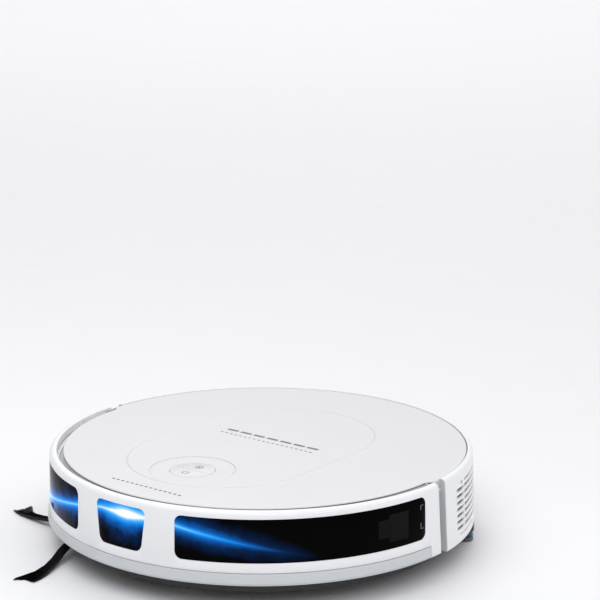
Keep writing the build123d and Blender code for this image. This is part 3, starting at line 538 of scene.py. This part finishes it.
def build_cover():
    """The cover as one closed skin: loops run from under the dish out, over the rim and back in."""
    track = track_points(640)
    bearings = [math.degrees(math.atan2(place.y, place.x)) for place, _ in track]
    rim = [(*polar(1, b), rim_radius(b)) for b in bearings]
    dish = Vector((0, DISH_Y))
    rays = [(place - dish).normalized() for place, _ in track]
    loops = []

    def rim_loop(inset, z):
        loops.append([(x * (r - inset), y * (r - inset), z) for x, y, r in rim])

    def dish_loop(radius, z):
        loops.append([(ray.x * radius, DISH_Y + ray.y * radius, z) for ray in rays])

    skirt = limits("deck_frame")[1].z + 0.1
    dish_loop(KEY_R + KEY_GAP, COVER_SKIN - 2.4)
    rim_loop(2.5, COVER_SKIN - 2.4)
    rim_loop(2.5, skirt)
    rim_loop(0.0, skirt)
    rim_loop(0.0, COVER_SKIN - 3.0)
    for inset, drop in ((0.0, 1.3), (0.07, 0.95), (0.25, 0.7), (0.55, 0.54), (0.95, 0.47), CROWN):
        rim_loop(inset, COVER_SKIN - drop)
    # the face crowns gently from the edge up to the raised line
    edge = [Vector((x, y)) * (r - CROWN[0]) for x, y, r in rim]
    outer = [place + out * RIDGE_FOOT for place, out in track]
    for share, drop in ((0.06, 0.36), (0.15, 0.26), (0.3, 0.14), (0.5, 0.05), (0.75, 0.01), (1.0, 0.0)):
        loops.append([(*(e * (1 - share) + o * share), COVER_SKIN - drop) for e, o in zip(edge, outer)])
    for share in (1.0, 0.83, 0.67, 0.5, 0.33, 0.13, -0.13, -0.33, -0.5, -0.67, -0.83, -1.0):
        rise = RIDGE * math.cos(math.pi / 2 * share) ** 2
        loops.append([(*(place + out * share * RIDGE_HALF), COVER_SKIN + rise) for place, out in track])
    inner = [place - out * RIDGE_FOOT for place, out in track]
    for share in (0.0, 0.3, 0.7):
        loops.append([(*(i * (1 - share) + (dish + ray * DISH_R) * share), COVER_SKIN)
                      for i, ray in zip(inner, rays)])
    # the dish: a fine groove round it, then a shallow floor that falls to the keys
    for radius, drop in ((DISH_R, 0), (34.7, 0), (34.45, 0.04), (34.3, 0.2), (34.2, 0.75), (34.0, 0.8),
                         (33.8, 0.75), (33.7, 0.42), (33.4, 0.36), (31, 0.36), (26, 0.36), (21, 0.37),
                         (19.6, 0.38), (18.8, 0.4), (18.5, 0.46), (18.3, 0.6), (KEY_R + KEY_GAP, 0.9),
                         (KEY_R + KEY_GAP, 2.4)):
        dish_loop(radius, COVER_SKIN - drop)
    points = [p for loop in loops for p in loop]
    faces = rows_to_faces(len(loops), len(track), False, True)
    piece("cover_skin", points, faces, "cover", "chassis", ("top_cover",), angle=50)


def build_cover_edge_shade():
    """A grey band round the cover's side just under its edge: painted shade beneath the rounded edge."""
    def outline(bearing):
        edge = rim_radius(bearing) + 0.06
        return rectangle((edge - 1.2, COVER_SKIN - 2.3), (edge, COVER_SKIN - 1.35))

    points, faces = swept(outline, spread(0, 360, 0.5)[:-1], True)
    piece("cover_edge_shade_band", points, faces, "edge_shade", "chassis")


def half_moon(side):
    """The outline of one key: half of a disc, side 1 towards the rear or -1 towards the front."""
    start = math.degrees(math.asin(KEY_FLAT / KEY_R))
    return [polar(KEY_R, side * bearing, (0, DISH_Y)) for bearing in spread(start, 180 - start, 3)][::side]


def print_mark(name, outlines, z, body):
    """Printed ink, lying just proud of a surface."""
    shapes = [prism(outline, z, z + INK) for outline in outlines]
    piece(name, *joined(*shapes), "ink", body)


def arc_band(centre, radius, width, start, end):
    """The outline of a narrow band along an arc."""
    return ([polar(radius + width / 2, b, centre) for b in spread(start, end, 12)]
            + [polar(radius - width / 2, b, centre) for b in spread(end, start, 12)])


def rectangle(low, high, centre=(0.0, 0.0)):
    """The outline of an upright rectangle between two corners, each measured from a centre."""
    (left, near), (right, far) = [(x + centre[0], y + centre[1]) for x, y in (low, high)]
    return [(left, near), (right, near), (right, far), (left, far)]


def build_keys():
    """The two touch keys: home has a round badge with a small house, power an open ring with a bar."""
    for side, name in ((1, "home_key"), (-1, "power_key")):
        points, faces = prism(half_moon(side), limits(name)[0].z + 1.8, KEY_TOP)
        piece(name + "_cap", points, faces, "cover", name, (name,), bevel=0.25)
    home, power = (0.0, DISH_Y + 8.2), (0.0, DISH_Y - 8.6)
    line = 0.75
    gable = [(home[0] + x, home[1] + y) for x, y in ((-1.7, -0.2), (1.7, -0.2), (0, 1.6))]
    badge = [arc_band(home, 3.1, line, 0, 180), arc_band(home, 3.1, line, 180, 360), gable,
             rectangle((-1.1, -1.5), (1.1, -0.3), home)]
    print_mark("home_mark", badge, KEY_TOP, "home_key")
    bar = rectangle((-line / 2, 0.6), (line / 2, 3.4), power)
    print_mark("power_mark", [arc_band(power, 2.7, line, 125, 415), bar], KEY_TOP, "power_key")


def build_print():
    """Plain rows of dashes, where such a cover carries its printing."""
    def dashes(y, half, count, tall, fill):
        pitch = 2 * half / count
        w, h = pitch * fill / 2, tall / 2
        middles = [-half + pitch * (at + 0.5) for at in range(count)]
        return [rounded([(*corner, tall * 0.4) for corner in rectangle((-w, -h), (w, h), (x, y))], 3)
                for x in middles]

    print_mark("cover_print", dashes(13.5, 49, 7, 3.4, 0.84), COVER_SKIN, "chassis")
    print_mark("cover_print_small", dashes(4.5, 49, 20, 1.5, 0.55), COVER_SKIN, "chassis")
    print_mark("front_print", dashes(-143, 36.5, 15, 2.0, 0.6), COVER_SKIN - 0.05, "chassis")


# ---- the bumper, its windows and strip ----
BUMPER_LOW, BUMPER_HIGH = limits("bumper_shell")
BUMPER_TOP, BUMPER_FOOT = BUMPER_HIGH.z, BUMPER_LOW.z
FOOT_R = 175.5
SHOULDER_R = 174.15
RIM_R = 169.8
BUMPER_HALF = 91.1               # degrees either side of the front
BUMPER_LEAN = 0.021              # the ends of the bumper and the housing are cut at a slant
HOUSING_LEAN = -0.012
WINDOW = (39.0, 73.5)            # heights of the windows' lower and upper edges
WINDOW_CORNER = 6.0
TAPER = 0.75                     # how far each end of the middle window leans in, degrees
LIP_HALF = 87.0
LIP = (71.3, 72.4)               # the ledge that closes the gap between cover and bumper
LIP_OUT = 171.9
LIP_GAP = 0.5
STRIP_TOP = limits("bumper_strip")[1].z
STRIP_HALF = 87.3
STRIP_BACK = 174.4
STRIP_GROOVE = 0.6


def skin_radius(z):
    """The bumper's outer radius at a height: it is widest at its foot."""
    return FOOT_R + (SHOULDER_R - FOOT_R) * (z - BUMPER_FOOT) / (BUMPER_TOP - BUMPER_FOOT)


WINDOWS = {                      # bearings off the front, and the lean of the ends in degrees per mm
    "window_front": (-7.65, 7.65, 2 * TAPER / (WINDOW[1] - WINDOW[0])),
    "window_left": (16.5, 85.0, 0.0),
    "window_right": (-16.5, -85.0, 0.0),
}


def window_panel(name, thick_in, thick_out, shrink=0.0):
    """A window's shape, from so far inside the bumper's skin to so far outside it."""
    start, end, lean = WINDOWS[name]
    less = math.copysign(math.degrees(shrink / SHOULDER_R), end - start)
    return panel(FRONT + start + less, FRONT + end - less, (WINDOW[0] + shrink, WINDOW[1] - shrink),
                 lambda z: (skin_radius(z) - thick_in, skin_radius(z) + thick_out),
                 WINDOW_CORNER - shrink, lean)


def ahead(bearing):
    """1 straight ahead, falling to 0 at the robot's sides."""
    return max(0.0, math.cos(math.radians(bearing - FRONT)))


def build_bumper():
    """The half-ring bumper, cut open for its windows and its strip, and the ledge inside its rim."""
    def outline(bearing):
        # the rim reaches further in at the front, which narrows the gap to the cover there
        rim = RIM_R - 2.3 * ahead(bearing)
        return rounded([(rim, BUMPER_TOP, 0.5), (SHOULDER_R, BUMPER_TOP, 3.8), (FOOT_R, BUMPER_FOOT, 0.8),
                        (FOOT_R - 2.9, BUMPER_FOOT, 0.6), (171.5, 70.5, 0.8), (rim, 72.5, 0.5)])

    points, faces = swept(outline, spread(FRONT - BUMPER_HALF, FRONT + BUMPER_HALF, 0.5),
                          lean=(BUMPER_LEAN, -BUMPER_LEAN))
    bumper = piece("bumper_skin", points, faces, "shell", "bumper", ("bumper_shell",))

    def lip(bearing):
        # it stays clear of the cover by the bumper's travel
        return rectangle((FRONT_R + LIP_GAP + 3.9 * ahead(bearing), LIP[0]), (LIP_OUT, LIP[1]))

    points, faces = swept(lip, spread(FRONT - LIP_HALF, FRONT + LIP_HALF, 1.0))
    piece("bumper_lip", points, faces, "shell", "bumper", bevel=0.15)
    cutters = [solid("cut_" + name, *window_panel(name, 8, 6)) for name in WINDOWS]
    seat = panel(FRONT - STRIP_HALF, FRONT + STRIP_HALF, (BUMPER_FOOT - 3, STRIP_TOP),
                 lambda z: (STRIP_BACK - 0.1, OUTSIDE))
    cutters.append(solid("cut_strip", *seat))
    carve(bumper, cutters, bevel=0.22)


def build_springs():
    """The two return springs between the chassis wall and the bumper, coiled at one fixed length."""
    low, high = limits("bumper_springs")
    wire, coil, turns, steps = 0.35, 3.0, 5, 24        # radii of the wire and the coil, steps in a turn
    foot, head = high.y - wire, low.y + wire
    shapes = []
    for x in (low.x + coil + wire, high.x - coil - wire):
        path = []
        for step in range(turns * steps + 1):
            angle = 2 * math.pi * step / steps
            path.append(Vector((x + coil * math.cos(angle), foot + (head - foot) * step / (turns * steps),
                                (low.z + high.z) / 2 + coil * math.sin(angle))))
        shapes.append(tube(path, [wire] * len(path), 8, (0, 1, 0)))
    springs = piece("return_springs", *joined(*shapes), "steel", None, ("bumper_springs",))
    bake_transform(springs)


def sensor_face(start, end, low, high):
    """A thin plate just under the face of a window."""
    return panel(FRONT + start, FRONT + end, (low, high),
                 lambda z: (skin_radius(z) - 1.4, skin_radius(z) - 0.09))


def build_windows():
    """The three acrylic windows, and the side-ranging sensor that shows through the left one."""
    for name in WINDOWS:
        # each lens carries the painted glow of the laser's light
        points, faces = window_panel(name, 2.2, -0.12, shrink=0.12)
        piece(name + "_lens", points, faces, "window", "bumper", (name,), bevel=0.15)
    # it shows as two dull faces side by side, and as two bright corners of its clip
    dull = [sensor_face(*at) for at in ((72.5, 78.8, 44.6, 66.4), (69.2, 72.4, 48.6, 63.0))]
    piece("range_sensor_face", *joined(*dull), "sensor", "bumper")
    corners = [sensor_face(*at) for at in ((83.2, 83.35, 63.2, 67.2), (83.35, 84.2, 66.9, 67.2),
                                           (83.2, 83.35, 48.2, 53.0), (83.35, 84.2, 48.2, 48.5))]
    piece("range_sensor_clips", *joined(*corners), "inner", "bumper")


def build_strip():
    """The rub strip: a groove over it, an upright face and a chamfer under it."""
    top = STRIP_TOP - STRIP_GROOVE
    outline = rounded([(STRIP_BACK, top, 0), (176.1, top, 0.4), (176.6, 23.2, 0.25),
                       (174.9, BUMPER_FOOT, 0.4), (STRIP_BACK, BUMPER_FOOT, 0)], 4)
    points, faces = swept(outline, spread(FRONT - STRIP_HALF + 0.1, FRONT + STRIP_HALF - 0.1, 0.5))
    piece("rub_strip", points, faces, "strip", "bumper", ("bumper_strip",), bevel=0.1)


# ---- the rear housing and its vents ----
HOUSING_LOW, HOUSING_HIGH = limits("rear_housing")
HOUSING_FROM = 4.85              # bearing of its front end
WALL_FOOT_R = 175.0
WALL_TOP_R = 172.75
VENT_ROWS = 7
VENT_PITCH = 5.28
VENT_TALL = 3.1
VENT_FOOT = 29.8
VENT_SHORT = (12.3, 16.45)       # bearings of the short slots, off the robot's left
VENT_LONG = (17.0, 33.0)
VENT_EXTRA = (                   # a half row over the full ones, and a thin slot under them
    ((14.0, 15.6), (66.9, 69.2), 0.6),
    ((17.1, 30.0), (66.9, 69.2), 0.6),
    ((13.2, 26.0), (25.2, 26.4), 0.3),
)
SCREEN = (11.5, 33.4)            # bearings of the dark mesh in the wall behind the slots
BIN_OPENING = (77.0, 24.0, 68.0) # half width, foot and top
CHANNEL_FROM = -1.5              # bearing of the grey channel's end behind the bumper
SHELF = (70.0, 71.1)             # the bumper's lip slides over this shelf
SHELF_FROM = -14.0


def mirrored(shape, flip=True):
    """A shape's points and faces, turned over to the robot's right."""
    points, faces = shape
    return ([(-x, y, z) for x, y, z in points] if flip else points), faces


def wall_radius(z):
    """The housing's outer radius at a height."""
    return WALL_FOOT_R - (WALL_FOOT_R - WALL_TOP_R) * (z - HOUSING_LOW.z) / (HOUSING_HIGH.z - HOUSING_LOW.z)


def slot(ends, heights, corner):
    """One louvre slot through the wall."""
    return panel(*ends, heights, lambda z: (164.0, OUTSIDE), corner, step=2.0)


def scoop(heights):
    """The tapered lead-in of a row: a shallow cut that deepens towards its slot."""
    low, high = heights
    points = []
    for bearing, depth in ((9.6, -0.3), (10.6, 0.35), (12.4, 1.3)):
        floor = wall_radius(low) - depth
        points += [(*polar(floor + 0.3, bearing), low + 0.3), (*polar(OUTSIDE, bearing), low + 0.3),
                   (*polar(OUTSIDE, bearing), high - 0.1), (*polar(floor, bearing), high - 0.1)]
    return capped(points, 4)


def build_housing():
    """The rear wall with its vents and bin opening, and the grey channels beside the bumper's ends."""
    foot, top = HOUSING_LOW.z, HOUSING_HIGH.z
    outline = rounded([(168.3, top, 0.4), (WALL_TOP_R, top, 3.6), (WALL_FOOT_R, foot, 1.0),
                       (171.6, foot, 0.5), (170.1, 70.5, 0.6), (168.3, 70.5, 0.5)])
    points, faces = swept(outline, spread(HOUSING_FROM, 180 - HOUSING_FROM, 0.5),
                          lean=(HOUSING_LEAN, -HOUSING_LEAN))
    housing = piece("housing_skin", points, faces, "shell", "chassis", ("rear_housing",))
    half, low, high = BIN_OPENING
    feet = [VENT_FOOT + row * VENT_PITCH for row in range(VENT_ROWS)]
    rows = [(at, at + VENT_TALL) for at in feet]
    vents = [slot(ends, row, 0.9) for row in rows for ends in (VENT_SHORT, VENT_LONG)]
    vents += [slot(*extra) for extra in VENT_EXTRA]
    scoops = [scoop(row) for row in rows]
    cutters = [solid("cut_bin", *prism(rectangle((-half, 130), (half, 190)), low, high))]
    for flip in (False, True):
        cutters.append(solid("cut_vents", *mirrored(joined(*vents), flip)))
        cutters.append(solid("cut_scoops", *mirrored(joined(*scoops), flip)))
    carve(housing, cutters, bevel=0.18)
    # the channel's floor runs between bumper and housing, and a grey plate covers the housing's end, painting
    # the shade that falls in the recess
    floor = rounded([(*corner, 0.3) for corner in rectangle((166.8, foot), (168.6, top - 1.2))], 3)
    plate = rounded([(168.0, foot + 0.3, 0.3), (174.8, foot + 0.3, 0.8), (172.6, top - 0.2, 3.6),
                     (168.0, top - 0.2, 0.3)], 4)
    end = spread(HOUSING_FROM - 0.25, HOUSING_FROM + 0.05, 0.3)
    channel = joined(swept(floor, spread(CHANNEL_FROM, HOUSING_FROM, 0.7)),
                     swept(plate, end, lean=(HOUSING_LEAN, 0.0)))
    shelf = rectangle((FRONT_R + LIP_GAP, SHELF[0]), (169.0, SHELF[1]))
    shelf = swept(shelf, spread(SHELF_FROM, HOUSING_FROM - 0.3, 1.0))
    screen = panel(*SCREEN, (24, 70), lambda z: (wall_radius(z) - 2.8, wall_radius(z) - 1.9), step=2.0)
    for flip, side in ((False, "left"), (True, "right")):
        piece("notch_channel_" + side, *mirrored(channel, flip), "notch", "chassis", ("rear_housing",))
        piece("lip_shelf_" + side, *mirrored(shelf, flip), "shell", "chassis", bevel=0.1)
        piece("vent_screen_" + side, *mirrored(screen, flip), "chassis", "chassis")


# ---- side brush: hub, collars and loose bristles ----
SIDE_LOW, SIDE_HIGH = limits("side_brush_hub")
SIDE_AT = (-105.0, -103.0)
SIDE_ARMS = (-72.5, 47.5, 167.5)
# a collar's size on its way out: (reach, half width, half height)
COLLARS = ((8, 4.8, 2.0), (18, 4.4, 2.2), (28, 3.8, 2.4), (36, 3.3, 2.5))
COLLAR_HEIGHT = 8.6
COLLAR_LEVEL = 12.0              # a collar is level up to here
COLLAR_FALL = 1.3 / 24           # and then falls so much for each mm
COLLAR_DRIFT = 0.5               # how far its end is off the straight
FILAMENTS = 420                  # in each bundle
TIP_REACH = 98.3                 # of the bundle's middle, where it has worn most
TIP_NOTCH = 4.0                  # its sides reach further by this
FILAMENT_RADII = (0.34, 0.34, 0.34, 0.34, 0.32, 0.3, 0.12)
# the bundle's middle and half width: (reach, offset, height, half width)
BUNDLE = ((33.0, 0.5, 8.4, 2.9), (46.0, 1.4, 7.2, 3.2), (60.0, 2.9, 5.2, 3.3), (74.0, 3.4, 3.7, 3.7),
          (86.0, 2.2, 2.4, 5.2), (95.0, -0.9, 1.5, 7.4), (102.6, -4.2, 1.0, 8.6))


def build_side_brush():
    """A hub with three soft collars, each holding a bundle of loose filaments."""
    hub = rounded([(2.7, SIDE_LOW.z, 0.3), (8.5, SIDE_LOW.z, 1.2), (11, SIDE_LOW.z + 2.2, 0.8),
                   (11, SIDE_HIGH.z, 0.8), (2.7, SIDE_HIGH.z, 0.3)], 4)
    shapes = [spun(hub, SIDE_AT, 6)]
    bristles = []
    root, up = Vector((*SIDE_AT, 0)), Vector((0, 0, 1))
    circle = [2 * math.pi * step / 16 for step in range(16)]
    start, end = BUNDLE[0][0], BUNDLE[-1][0]
    for bearing in SIDE_ARMS:
        way = Vector((*polar(1, bearing), 0))
        across = Vector((-way.y, way.x, 0))
        collar = []
        for reach, half, tall in COLLARS:
            height = COLLAR_HEIGHT - COLLAR_FALL * max(0, reach - COLLAR_LEVEL)
            drift = COLLAR_DRIFT * reach / COLLARS[-1][0]
            middle = root + way * reach + across * drift + up * height
            collar += [tuple(middle + across * (half * math.cos(angle)) + up * (tall * math.sin(angle)))
                       for angle in circle]
        shapes.append(capped(collar, 16))
        for _ in range(FILAMENTS):
            side = max(-1.0, min(1.0, DICE.gauss(0, 0.5)))
            level = DICE.uniform(-1, 0.35)
            last = TIP_REACH + TIP_NOTCH * abs(side) + DICE.uniform(-3.4, 0.0)
            path = []
            for reach, offset, height, half in BUNDLE:
                share = (reach - start) / (end - start)
                place = start + (last - start) * share
                rise = height + level * 2.1 * (1 - 0.62 * share)
                path.append(root + way * place + across * (offset + side * half) + up * max(0.45, rise))
            bristles.append(tube(path, FILAMENT_RADII, 3))
    piece("side_brush_rubber", *joined(*shapes), "silicone", "side_brush", ("side_brush_hub",))
    piece("side_brush_hair", *joined(*bristles), "bristle", "side_brush", ("side_brush_bristles",), angle=80)


# ---- wheels, caster and main brush ----
LUGS = 30
ROWS = 6                         # rows of fins and tufts round the main brush
TWIST = 70.0                     # degrees that a row turns from the middle to its end
CORE_R = 8.8


def build_wheels():
    """The two driven tyres, each with two staggered rows of slanted lugs."""
    for name in ("left", "right"):
        axle, radius, middle, half = roller("tyre_" + name)
        root = radius - 2.2
        tread = rounded([(26.0, -half, 0), (root, -half, 1.2), (root, half, 1.2), (26.0, half, 0)], 4)
        shapes = [spun([(r, z + middle) for r, z in tread], (0, 0), 4)]
        for lug in range(LUGS):
            for side in (-1, 1):
                bearing = 360 / LUGS * (lug + (0 if side > 0 else 0.5))
                start, end = (0.6, half - 1.0) if side > 0 else (1.0 - half, -0.6)
                shapes.append(panel(bearing - 3.2, bearing + 3.2, (middle + start, middle + end),
                                    lambda z: (radius - 2.6, radius - 0.05), 0.8, side * 0.45, step=2.0))
        points, faces = along_x(joined(*shapes), axle)
        piece("tread_" + name, points, faces, "tyre", name + "_wheel", ("tyre_" + name,), bevel=0.2)


def build_caster():
    """The caster's wheel, with a moulding groove round its middle."""
    axle, radius, _, half = roller("caster_wheel")
    radius -= 0.02
    groove = radius - 0.58
    tread = rounded([(1.6, -half, 0.2), (radius, -half, 3.0), (radius, -1.2, 0.3), (groove, -0.6, 0.3),
                     (groove, 0.6, 0.3), (radius, 1.2, 0.3), (radius, half, 3.0), (1.6, half, 0.2)], 4)
    points, faces = along_x(spun(tread, (0, 0), 5), axle)
    piece("caster_tread", points, faces, "tyre", "caster_wheel", ("caster_wheel",))


def build_main_brush():
    """Rubber fins and rows of tufts by turns, each wound the other way on the brush's two halves."""
    (y, z), radius, _, half = roller("main_brush_blades")
    half -= 0.5

    def around(x, r, turn):
        return x, y + r * math.cos(turn), z + r * math.sin(turn)

    fins, tufts = [], []
    for row in range(ROWS):
        start = 360 / ROWS * row + 10
        for side in (-1, 1):
            if row % 2 == 0:
                points = []
                for share in [at / 24 for at in range(25)]:
                    turn = math.radians(start + TWIST * share)
                    points += [around(side * half * share, r, turn + off / r)
                               for r, off in ((CORE_R, -1.5), (radius - 0.8, -0.55), (radius - 0.3, 0.0),
                                              (radius - 0.8, 0.55), (CORE_R, 1.5))]
                fins.append(capped(points, 5))
                continue
            for share in [(at + 0.5) / 30 for at in range(30)]:
                for _ in range(7):
                    x = side * half * share + DICE.gauss(0, 0.7)
                    turn = math.radians(start + TWIST * share) + DICE.gauss(0, 0.05)
                    reach = radius - DICE.uniform(0.1, 0.9)
                    path = [Vector(around(x, r, turn + lean))
                            for r, lean in ((CORE_R, 0.0), (15, 0.01), (reach, 0.04))]
                    tufts.append(tube(path, [0.28, 0.26, 0.14], 3))
    piece("main_brush_fins", *joined(*fins), "silicone", "main_brush", ("main_brush_blades",))
    piece("main_brush_tufts", *joined(*tufts), "bristle", "main_brush", ("main_brush_blades",), angle=80)


# ---- mop module ----
MOP_CORNER = 6.0


def mop_outline(inset):
    """The module's D: a straight front edge, round corners and a round back."""
    low, high = limits("tank_tray")
    radius, front = high.y - inset, low.y + inset
    # each corner's arc touches the front edge and the round back
    middle_y = front + MOP_CORNER
    middle_x = math.sqrt((radius - MOP_CORNER) ** 2 - middle_y ** 2)
    start = math.degrees(math.atan2(middle_y, middle_x))
    corner = [polar(MOP_CORNER, b, (middle_x, middle_y)) for b in spread(-90, start, 12)]
    back = [polar(radius, b) for b in spread(start, 180 - start, 2.0)[1:-1]]
    return corner + back + [(-x, y) for x, y in reversed(corner)]


def build_mop():
    """Water tank, plate and cloth, one over the other."""
    for name, finish, inset in (("tank_tray", "tank", 0.0), ("tank_lid", "tank", 0.15),
                                ("mop_plate", "plate", 1.5)):
        low, high = limits(name)
        shape = prism(mop_outline(inset), low.z + 0.05, high.z)
        piece(name + "_shell", *shape, finish, "mop", (name,), bevel=0.5)
    low, high = limits("mop_cloth")
    outline = mop_outline(0.6)
    points, faces = prism(outline, low.z + 0.05, high.z - 0.05)
    cloth = piece("mop_pad", points, faces, "cloth", "mop", ("mop_cloth",), bevel=1.1)


# ---- finishes of the CAD pieces that keep their shape ----
KEPT = {
    "chassis": ("chassis_base", "brush_chamber", "brush_guard", "battery_hatch", "side_brush_gearbox",
                "bump_switches", "suspension_arm_left", "suspension_arm_right", "caster_fork",
                "main_brush_core", "laser_head", "laser_base"),
    "deck": ("deck_frame",),
    "inner": ("wheel_cradle_left", "wheel_cradle_right", "wheel_hub_left", "wheel_hub_right",
              "brush_end_caps", "brush_drive", "laser_pulley", "fan_housing", "fan_impeller"),
    "steel": ("chassis_screws", "suspension_pins", "suspension_springs", "drive_motor_left",
              "drive_motor_right", "caster_axle", "fan_motor"),
    "board": ("key_board", "main_board"),
    "battery": ("battery_pack",),
    "smoke": ("dustbin_body", "dustbin_lid"),
    "paper": ("dust_filter",),
    "shell": ("release_key",),
    "silicone": ("port_flap", "filler_cap"),
    # the cliff windows take the same acrylic, with its painted glow
    "window": ("cliff_windows",),
    "contact": ("charge_contacts",),
}


def finish_kept():
    """Gives those pieces their finishes."""
    for finish, names in KEPT.items():
        for name in names:
            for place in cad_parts[name].material_slots:
                place.material = FINISH[finish]


# ---- studio ----
HEADING = 37.9                   # the camera looks along +Y, turned this far towards -X
PITCH = 13.59
EYE = (1.0879, -1.3470, 0.6186)
LENS = 132.0
FLOOR_HALF = 14.0                # metres, like all of the studio


def softbox(name, place, aim, size, power):
    """A rectangular area light at a place, aimed at another."""
    light = bpy.data.lights.new(name, "AREA")
    light.shape = "RECTANGLE"
    light.size, light.size_y = size
    light.energy = power
    lamp = add_object(name, light)
    lamp.location = place
    lamp.rotation_euler = (Vector(aim) - Vector(place)).to_track_quat("-Z", "Y").to_euler()


def build_studio():
    """Camera, plain floor, a soft pale surround and three softboxes."""
    scene = bpy.context.scene
    scene.view_settings.view_transform = "Standard"
    camera = add_object("camera", bpy.data.cameras.new("camera"))
    camera.data.lens = LENS
    camera.data.clip_end = 60
    camera.location = EYE
    camera.rotation_euler = (math.radians(90 - PITCH), 0, math.radians(HEADING))
    scene.camera = camera
    mesh = bpy.data.meshes.new("floor")
    outline = rectangle((-FLOOR_HALF, -FLOOR_HALF), (FLOOR_HALF, FLOOR_HALF))
    mesh.from_pydata([(x, y, 0) for x, y in outline], [], [(0, 1, 2, 3)])
    floor = add_object("floor", mesh)
    mesh.materials.append(moulded("painted_studio_floor", "#F4F4F5", 0.7, 4.0, 0.0, "#F2F2F4"))
    world = bpy.data.worlds.new("studio")
    scene.world = world
    world.use_nodes = True
    tree = world.node_tree
    way = node(tree, "TexCoord").outputs["Generated"]
    height = node(tree, "SeparateXYZ", {"Vector": way}).outputs["Z"]
    # brightest overhead, dimmer low down and off the robot's front right corner
    level = remap(tree, height, (0.1, 0.8), (0.72, 1.03), "SMOOTHSTEP")
    corner = node(tree, "VectorMath", {0: way, 1: (0.78, 0.63, 0.0)}, operation="DOT_PRODUCT")
    side = remap(tree, corner.outputs["Value"], (-0.95, -0.1), (0.3, 1.0), "SMOOTHSTEP")
    strength = node(tree, "Math", {0: level, 1: side}, operation="MULTIPLY").outputs[0]
    tree.links.new(strength, tree.nodes["Background"].inputs["Strength"])
    tree.nodes["Background"].inputs["Color"].default_value = linear("#FBFBFC")
    softbox("top_box", (-0.2, -0.55, 1.1), (-0.05, -0.15, 0), (0.9, 0.9), 4.0)
    softbox("front_box", (1.3, -1.5, 1.9), (0, 0, 0.05), (1.0, 1.0), 6)
    softbox("back_box", (-2.6, 3.4, 2.6), (-2.6, 3.4, 0), (4.0, 4.0), 30)


finish_kept()
build_cover()
build_cover_edge_shade()
build_keys()
build_print()
build_bumper()
build_springs()
build_windows()
build_strip()
build_housing()
build_side_brush()
build_wheels()
build_caster()
build_main_brush()
build_mop()
build_studio()
